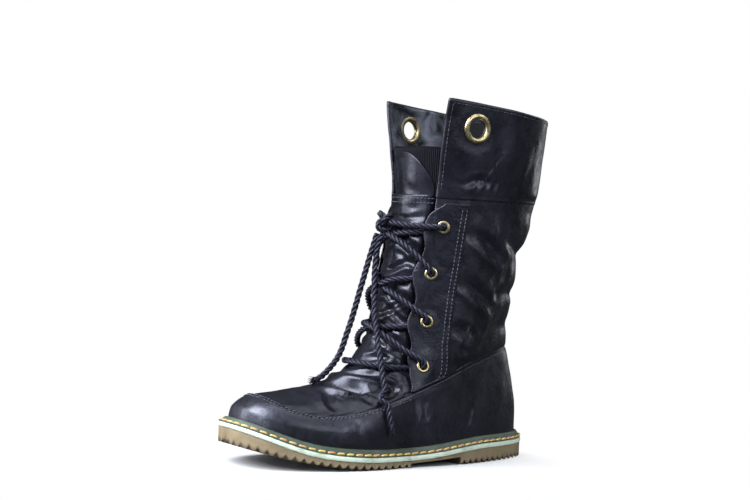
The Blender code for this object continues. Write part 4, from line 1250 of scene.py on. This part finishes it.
for word, side in (("lateral", 1), ("medial", -1)):
    for number, (row, at) in enumerate(EYELETS, 1):
        turn_ring(f"eyelet_{word}_{number}", row, side * at, EYELET_RING)
    turn_ring(f"grommet_{word}", GROMMET[0], side * GROMMET[1], GROMMET_RING)

# Elastic and flap: a ribbed black elastic band lets the cuff open in front, and a half-moon flap of the
# shiny leather, sewn into the top of the tongue, covers it.
# The elastic is painted lighter on the crests of its ribs than in the grooves: a painted highlight on the
# ribs and painted shade between them.
ELASTIC_BLACK = (0.003, 0.003, 0.004, 1.0)
ELASTIC_RIB_PAINTED_LIGHT = (0.011, 0.0115, 0.016, 1.0)
ELASTIC_LOW, ELASTIC_HIGH = 9.0, 9.95
ELASTIC_GRID, FLAP_GRID = (30, 420), (90, 120)
ELASTIC_TUCK = 8.0  # degrees that it runs on behind the cuff
RIB_PITCH, RIB_HEIGHT = 1.75, 0.8
FLAP_HALF, FLAP_LOW, FLAP_CORNER, FLAP_TOP = 38.0, 8.72, 9.12, 9.84
ELASTIC_THICK, FLAP_THICK = 1.2, 1.4
EDGE_LIFT, FLAP_LIFT, ELASTIC_LIFT = -2.5, -4.6, -6.3
PAST_FLAP = 43.0
FLAP_FOLDS = (
    Fold(((9.66, -8), (9.45, -9), (9.2, -9), (9.0, -8)), 3.0, 0.35, 0.3),
    Fold(((9.16, 4), (9.06, 14), (9.05, 24)), 4.0, 0.4, 0.2),
)
FLAP_ROWS, FLAP_ROW_HALF, FLAP_ROW_LIFT = (8.93, 8.84), 40.0, -1.55

elastic_web = Paint("elastic_web", 0.9, specular=0.06)
elastic_web.colour(elastic_web.blend(elastic_web.mark("rib"), ELASTIC_BLACK, ELASTIC_RIB_PAINTED_LIGHT))
elastic_web.relief(elastic_web.grain(1500.0, 1.0, (1.0, 1.0, 0.3)), 0.12, 0.7)


def make_elastic():
    rows, cols = ELASTIC_GRID
    level = np.linspace(ELASTIC_LOW, ELASTIC_HIGH, rows)[:, None]
    turn = (throat(level) + ELASTIC_TUCK) * np.linspace(-1.0, 1.0, cols)[None, :]
    wall = last_point(level, turn)
    normal = last_normal(level, turn)
    lift = ELASTIC_LIFT + (EDGE_LIFT - ELASTIC_LIFT) * smooth_step((np.abs(turn) - PAST_FLAP) / 7.0)
    along = lengths(wall[rows // 2])
    rib = np.abs(np.sin(np.pi * along / RIB_PITCH))[None, :] * np.ones_like(level)
    hem = smooth_step((ELASTIC_HIGH - level) / 0.05)
    outer = wall + (lift + RIB_HEIGHT * rib * hem)[..., None] * normal
    points, faces, _, source = shell(outer, normal, ELASTIC_THICK)
    # The rib mark carries the painted highlight on the crests and the painted shade in the grooves.
    marks = {"rib": (rib * hem).ravel()[source]}
    add_piece("elastic_band", points, faces, [elastic_web], ("elastic_gusset",), None, marks)


def make_flap():
    rows, cols = FLAP_GRID
    share = np.linspace(0.0, 1.0, rows)[:, None]
    turn = FLAP_HALF * np.sin(np.linspace(-np.pi / 2, np.pi / 2, cols))[None, :]
    edge = FLAP_CORNER + (FLAP_TOP - FLAP_CORNER) * np.maximum(0.0, 1.0 - (turn / FLAP_HALF) ** 2) ** 0.75
    level = FLAP_LOW + (edge - FLAP_LOW) * share
    turn = np.broadcast_to(turn, level.shape)
    wall = last_point(level, turn)
    normal = last_normal(level, turn)
    lift = FLAP_LIFT + 0.9 * smooth_step((level - 9.0) / 0.4) + fold_lift(wall, FLAP_FOLDS)
    outer = wall + lift[..., None] * normal
    points, faces = shell(outer, normal, FLAP_THICK)[:2]
    marks = {"scuffs_and_bulges": np.zeros(len(points))}
    add_piece("half_moon_flap", points, faces, [front_leather], ("tongue_flap",), None, marks)
    row_turn = np.linspace(-FLAP_ROW_HALF, FLAP_ROW_HALF, 160)
    lines = [stitch_row(row_level, row_turn, FLAP_ROW_LIFT) for row_level in FLAP_ROWS]
    sew("tongue_top_stitches", lines, 3.0, 2.2, 0.75, 0.16, dark_thread)


make_elastic()
make_flap()

# Toe seam: two rows of close stitches along the top edge of the lower panel, where the apron is sewn in
# behind it round the toe.
TOE_ROWS, TOE_SEAM_HALF = (1.95, 1.83), 88.0
toe_turn = np.linspace(-TOE_SEAM_HALF, TOE_SEAM_HALF, 500)
toe_lines = [stitch_row(row_level, toe_turn, PANEL_STEP) for row_level in TOE_ROWS]
sew("toe_seam_stitches", toe_lines, 3.2, 2.3, 0.8, 0.16, dark_thread, 0.5)

# Lace: navy-black cotton cord of three strands, about 5 mm thick. Each half comes out of an eyelet, climbs
# steeply over the tongue, dips under the other eyestay and comes out of the next eyelet up.
LACE_TURN = 15.0  # length in which a strand goes once round
LACE_STEP = 0.85
STRAND, STRAND_OUT, STRAND_SIDES = 1.24, 1.32, 9
YARN_PITCH = 1.9
NAVY_LIGHT = (0.019, 0.0195, 0.034, 1.0)
NAVY_DARK = (0.002, 0.002, 0.004, 1.0)
LACE_LIFT = 5.0  # lift of a lace that lies on an eyestay
KNOT = (8.4, -1.0, 9.6)  # level, turn and lift

lace_cotton = Paint("lace_cotton", 0.5, specular=0.34)
lace_cotton.shader.inputs["Specular Tint"].default_value = SHINE_TINT
# The tone mark holds streaks along the strands and painted shade on each strand's inner side.
lace_cotton.colour(lace_cotton.blend(lace_cotton.mark("yarn_tone_and_strand_shade"), NAVY_DARK, NAVY_LIGHT))
lace_cotton.relief(lace_cotton.grain(1400.0, 2.0), 0.16, 0.8)


def on_last(level, turn, lift):
    """Points at a lift over the upper's wall."""
    level, turn, lift = (np.asarray(value, float) for value in (level, turn, lift))
    return last_point(level, turn) + lift[..., None] * last_normal(level, turn)


def walk(points, step):
    """Points at equal steps along a line through points, and how far along each one lies."""
    length = lengths(points)
    along = np.linspace(0.0, length[-1], max(2, int(round(length[-1] / step)) + 1))
    return between(along, length, points), along


def frames(path):
    """Side vectors along a line that turn as little as they can."""
    along = unit(np.gradient(path, axis=0))
    side = np.zeros_like(path)
    side[0] = unit(np.cross(along[0], (0.31, 0.52, 0.79)))
    for i in range(1, len(path)):
        side[i] = unit(side[i - 1] - (side[i - 1] @ along[i]) * along[i])
    return along, side, np.cross(along, side)


def tube_faces(count, sides, base):
    """Faces of a tube of rings with closed ends."""
    faces = grid_faces(count, sides, closed=True, base=base).tolist()
    faces.append([base + k for k in reversed(range(sides))])
    faces.append([base + (count - 1) * sides + k for k in range(sides)])
    return faces


def twist(path, phase=0.0):
    """Points, faces and tone of a three-strand cord along a line: streaks along each strand, and painted
    shade on each strand's inner side.
    """
    sides = STRAND_SIDES
    line, along = walk(path, LACE_STEP)
    first, second = frames(line)[1:]
    count = len(line)
    ring = 2 * np.pi * np.arange(sides) / sides
    points, faces, tone = [], [], []
    for strand in range(3):
        a = 2 * np.pi * (along / LACE_TURN + strand / 3.0) + phase
        spoke = np.cos(a)[:, None] * first + np.sin(a)[:, None] * second
        middle = line + STRAND_OUT * spoke
        lead = unit(np.gradient(middle, axis=0))
        out = unit(spoke - (spoke * lead).sum(1, keepdims=True) * lead)
        beside = np.cross(lead, out)
        round_strand = np.cos(ring)[:, None] * out[:, None] + np.sin(ring)[:, None] * beside[:, None]
        fine = 1.0 + 0.05 * np.sin(2 * np.pi * along / YARN_PITCH + strand)
        tube = middle[:, None] + STRAND * fine[:, None, None] * round_strand
        points.append(tube.reshape(-1, 3))
        faces += tube_faces(count, sides, strand * count * sides)
        # Painted shade: each strand darkens towards its inner side, where it lies against the other strands,
        # over streaks along its length.
        shade = 0.5 + 0.25 * np.sin(2 * np.pi * along / YARN_PITCH)
        tone.append((shade[:, None] * (0.55 + 0.45 * np.cos(ring))[None, :]).ravel())
    return np.concatenate(points), faces, np.concatenate(tone)


def add_cord(name, runs, nodes):
    """One piece from several runs of cord; returns it."""
    points, faces, tone = [], [], []
    base = 0
    for run_points, run_faces, run_tone in runs:
        points.append(run_points)
        faces += [[base + v for v in face] for face in run_faces]
        tone.append(run_tone)
        base += len(run_points)
    marks = {"yarn_tone_and_strand_shade": np.concatenate(tone)}
    return add_piece(name, np.concatenate(points), faces, [lace_cotton], nodes, marks=marks)


def lace_half(side, over):
    """The given way of one half of the lace, from the middle of the lowest bar to the knot."""
    row, at = EYELETS[-1]
    way = [(BAR_LEVEL, 0.0, 2.2), (BAR_LEVEL + 0.02, side * 22, 1.8), (BAR_LEVEL + 0.03, side * 42, -0.5)]
    way += [(BAR_LEVEL + 0.02, side * 52, -3.4), (row, side * (at - 4), -5.2)]
    for number in (2, 1, 0):
        (row, at), (next_row, next_at) = EYELETS[number + 1], EYELETS[number]
        middle = CROSSING_LEVELS[number]
        rise = middle - row
        way += [(row, side * at, -2.2), (row, side * at, 1.6), (row + 0.04, side * (at - 0.5), 4.2)]
        way += [(row + 0.2 * rise, side * (at - 4.5), 5.4), (row + 0.45 * rise, side * 0.72 * at, LACE_LIFT)]
        way += [(row + 0.75 * rise, side * 0.42 * at, 3.2 + 2.2 * over), (middle, 0.0, 2.0 + 3.6 * over)]
        way += [(next_row - 0.14, -side * 0.34 * next_at, 1.8 + 1.4 * over)]
        way += [(next_row - 0.1, -side * (next_at - 16), -0.5)]
        way += [(next_row - 0.05, -side * (next_at - 8), -4.0), (next_row, -side * (next_at - 2), -5.0)]
        side = -side
    row, at = EYELETS[0]
    way += [(row, side * at, -2.2), (row, side * at, 1.6), (row, side * (at - 0.5), 4.2)]
    way += [(row, side * (at - 5), 5.6), (row, side * 0.66 * at, 5.2), (row + 0.01, side * 0.36 * at, 6.0)]
    way += [(KNOT[0] - 0.02, KNOT[1] + side * 9, KNOT[2] - 1.5), KNOT]
    return on_last(*smooth_path(way, 900).T)


lace_runs = [twist(lace_half(1, 1.0)), twist(lace_half(-1, 0.0), 1.0)]
lace_nodes = ("lace_bar_bottom", "lace_bar_top", "lace_crossing_1", "lace_crossing_2", "lace_crossing_3")
add_cord("lace_through_eyelets", lace_runs, lace_nodes)

# Knot and ends: the two halves are tied once in front and hang free, one down the tongue and over the
# side, one clear in front. Both ends are cut bare and have frayed.
KNOT_WIDE, KNOT_TALL, KNOT_DEEP = 6.0, 7.6, 3.8
LATERAL_END = (
    (8.14, 1.5, 11.0),
    (7.94, -1.8, 11.0),
    (7.7, -3.2, 10.5),
    (7.36, -2.0, 10.0),
    (6.92, 2.8, 9.6),
    (6.44, 8.8, 9.2),
    (6.07, 15.0, 9.0),
    (5.47, 26.0, 8.5),
    (4.76, 39.5, 7.0),
    (3.8, 57.0, 5.0),
    (2.9, 67.0, 4.7),
    (2.04, 75.5, 4.8),
    (1.41, 77.5, 5.2),
    (0.96, 79.0, 5.0),
    (0.81, 79.8, 5.0),
)
MEDIAL_END = (
    (8.12, -6.0, 11.5),
    (7.87, -7.0, 12.5),
    (7.64, -8.0, 13.5),
    (7.24, -9.0, 15.0),
    (6.76, -9.5, 16.0),
    (6.23, -10.0, 16.0),
    (5.67, -9.0, 15.0),
    (5.23, -9.5, 12.0),
    (4.5, -6.0, 7.6),
    (4.05, -4.0, 4.2),
    (3.8, -2.0, 3.2),
    (3.62, 2.0, 3.0),
)
FRAY = 9.0  # length of loose yarn at an end
FRAY_OVERLAP = 4.0
YARNS, LONG_YARNS = 32, 12
YARN_STEPS, YARN_SIDES = 8, 5


def fray(path, seed):
    """Loose yarns at the end of a cord, spreading a little as they hang."""
    draw = np.random.default_rng(seed)
    line, along = walk(path, 0.8)
    forward, first, second = frames(line)
    tail = along[-1] - FRAY
    steps, sides = YARN_STEPS, YARN_SIDES
    t = np.linspace(0.0, 1.0, steps)
    girth = 0.42 * (1.0 - 0.6 * t)
    ring = 2 * np.pi * np.arange(sides) / sides
    points, faces, tone = [], [], []
    for yarn_number in range(YARNS):
        angle = draw.uniform(0.0, 2 * np.pi)
        start, spread = draw.uniform(0.2, 1.9), draw.uniform(1.0, 3.4)
        length = draw.uniform(0.5, 1.0) * FRAY
        if yarn_number < LONG_YARNS:
            start, spread, length = 0.45 * start, 0.5 * spread, FRAY
        curl = draw.uniform(-0.8, 0.8)
        at = tail - 1.5 + t * (length + 1.5)
        middle, lead, one, two = (between(at, along, rows) for rows in (line, forward, first, second))
        a = angle + curl * t
        out = start + (spread - 0.4) * t**1.5
        middle = middle + out[:, None] * (np.cos(a)[:, None] * one + np.sin(a)[:, None] * two)
        side = unit(np.cross(lead, one + 0.3 * two))
        other = np.cross(lead, side)
        around = np.cos(ring)[:, None] * side[:, None] + np.sin(ring)[:, None] * other[:, None]
        points.append((middle[:, None] + girth[:, None, None] * around).reshape(-1, 3))
        faces += tube_faces(steps, sides, yarn_number * steps * sides)
        tone.append(np.full(steps * sides, draw.uniform(0.2, 0.9)))
    return np.concatenate(points), faces, np.concatenate(tone)


def tie_knot():
    """A single overhand knot, drawn tight, in front of the top crossing."""
    centre = on_last(*KNOT)
    out = last_normal(np.array(KNOT[0]), np.array(KNOT[1]))
    across = unit(np.cross(out, (0.0, 0.0, 1.0)))
    upright = np.cross(across, out)
    t = np.linspace(0.0, 2 * np.pi, 220)
    wide = KNOT_WIDE / 3 * (np.sin(t) + 2 * np.sin(2 * t))
    tall = KNOT_TALL / 3 * (np.cos(t) - 2 * np.cos(2 * t))
    deep = KNOT_DEEP * -np.sin(3 * t)
    return centre + wide[:, None] * across + tall[:, None] * upright + deep[:, None] * out


add_cord("lace_knot_tied", [twist(tie_knot())], ("lace_knot",))
for name, route, seed in (("lateral", LATERAL_END, 5), ("medial", MEDIAL_END, 9)):
    path, along = walk(on_last(*smooth_path(route, 400).T), 1.0)
    twisted = path[along < along[-1] - FRAY + FRAY_OVERLAP]
    runs = [twist(twisted), fray(path, seed)]
    end = add_cord(f"lace_end_{name}_cord", runs, (f"lace_end_{name}",))
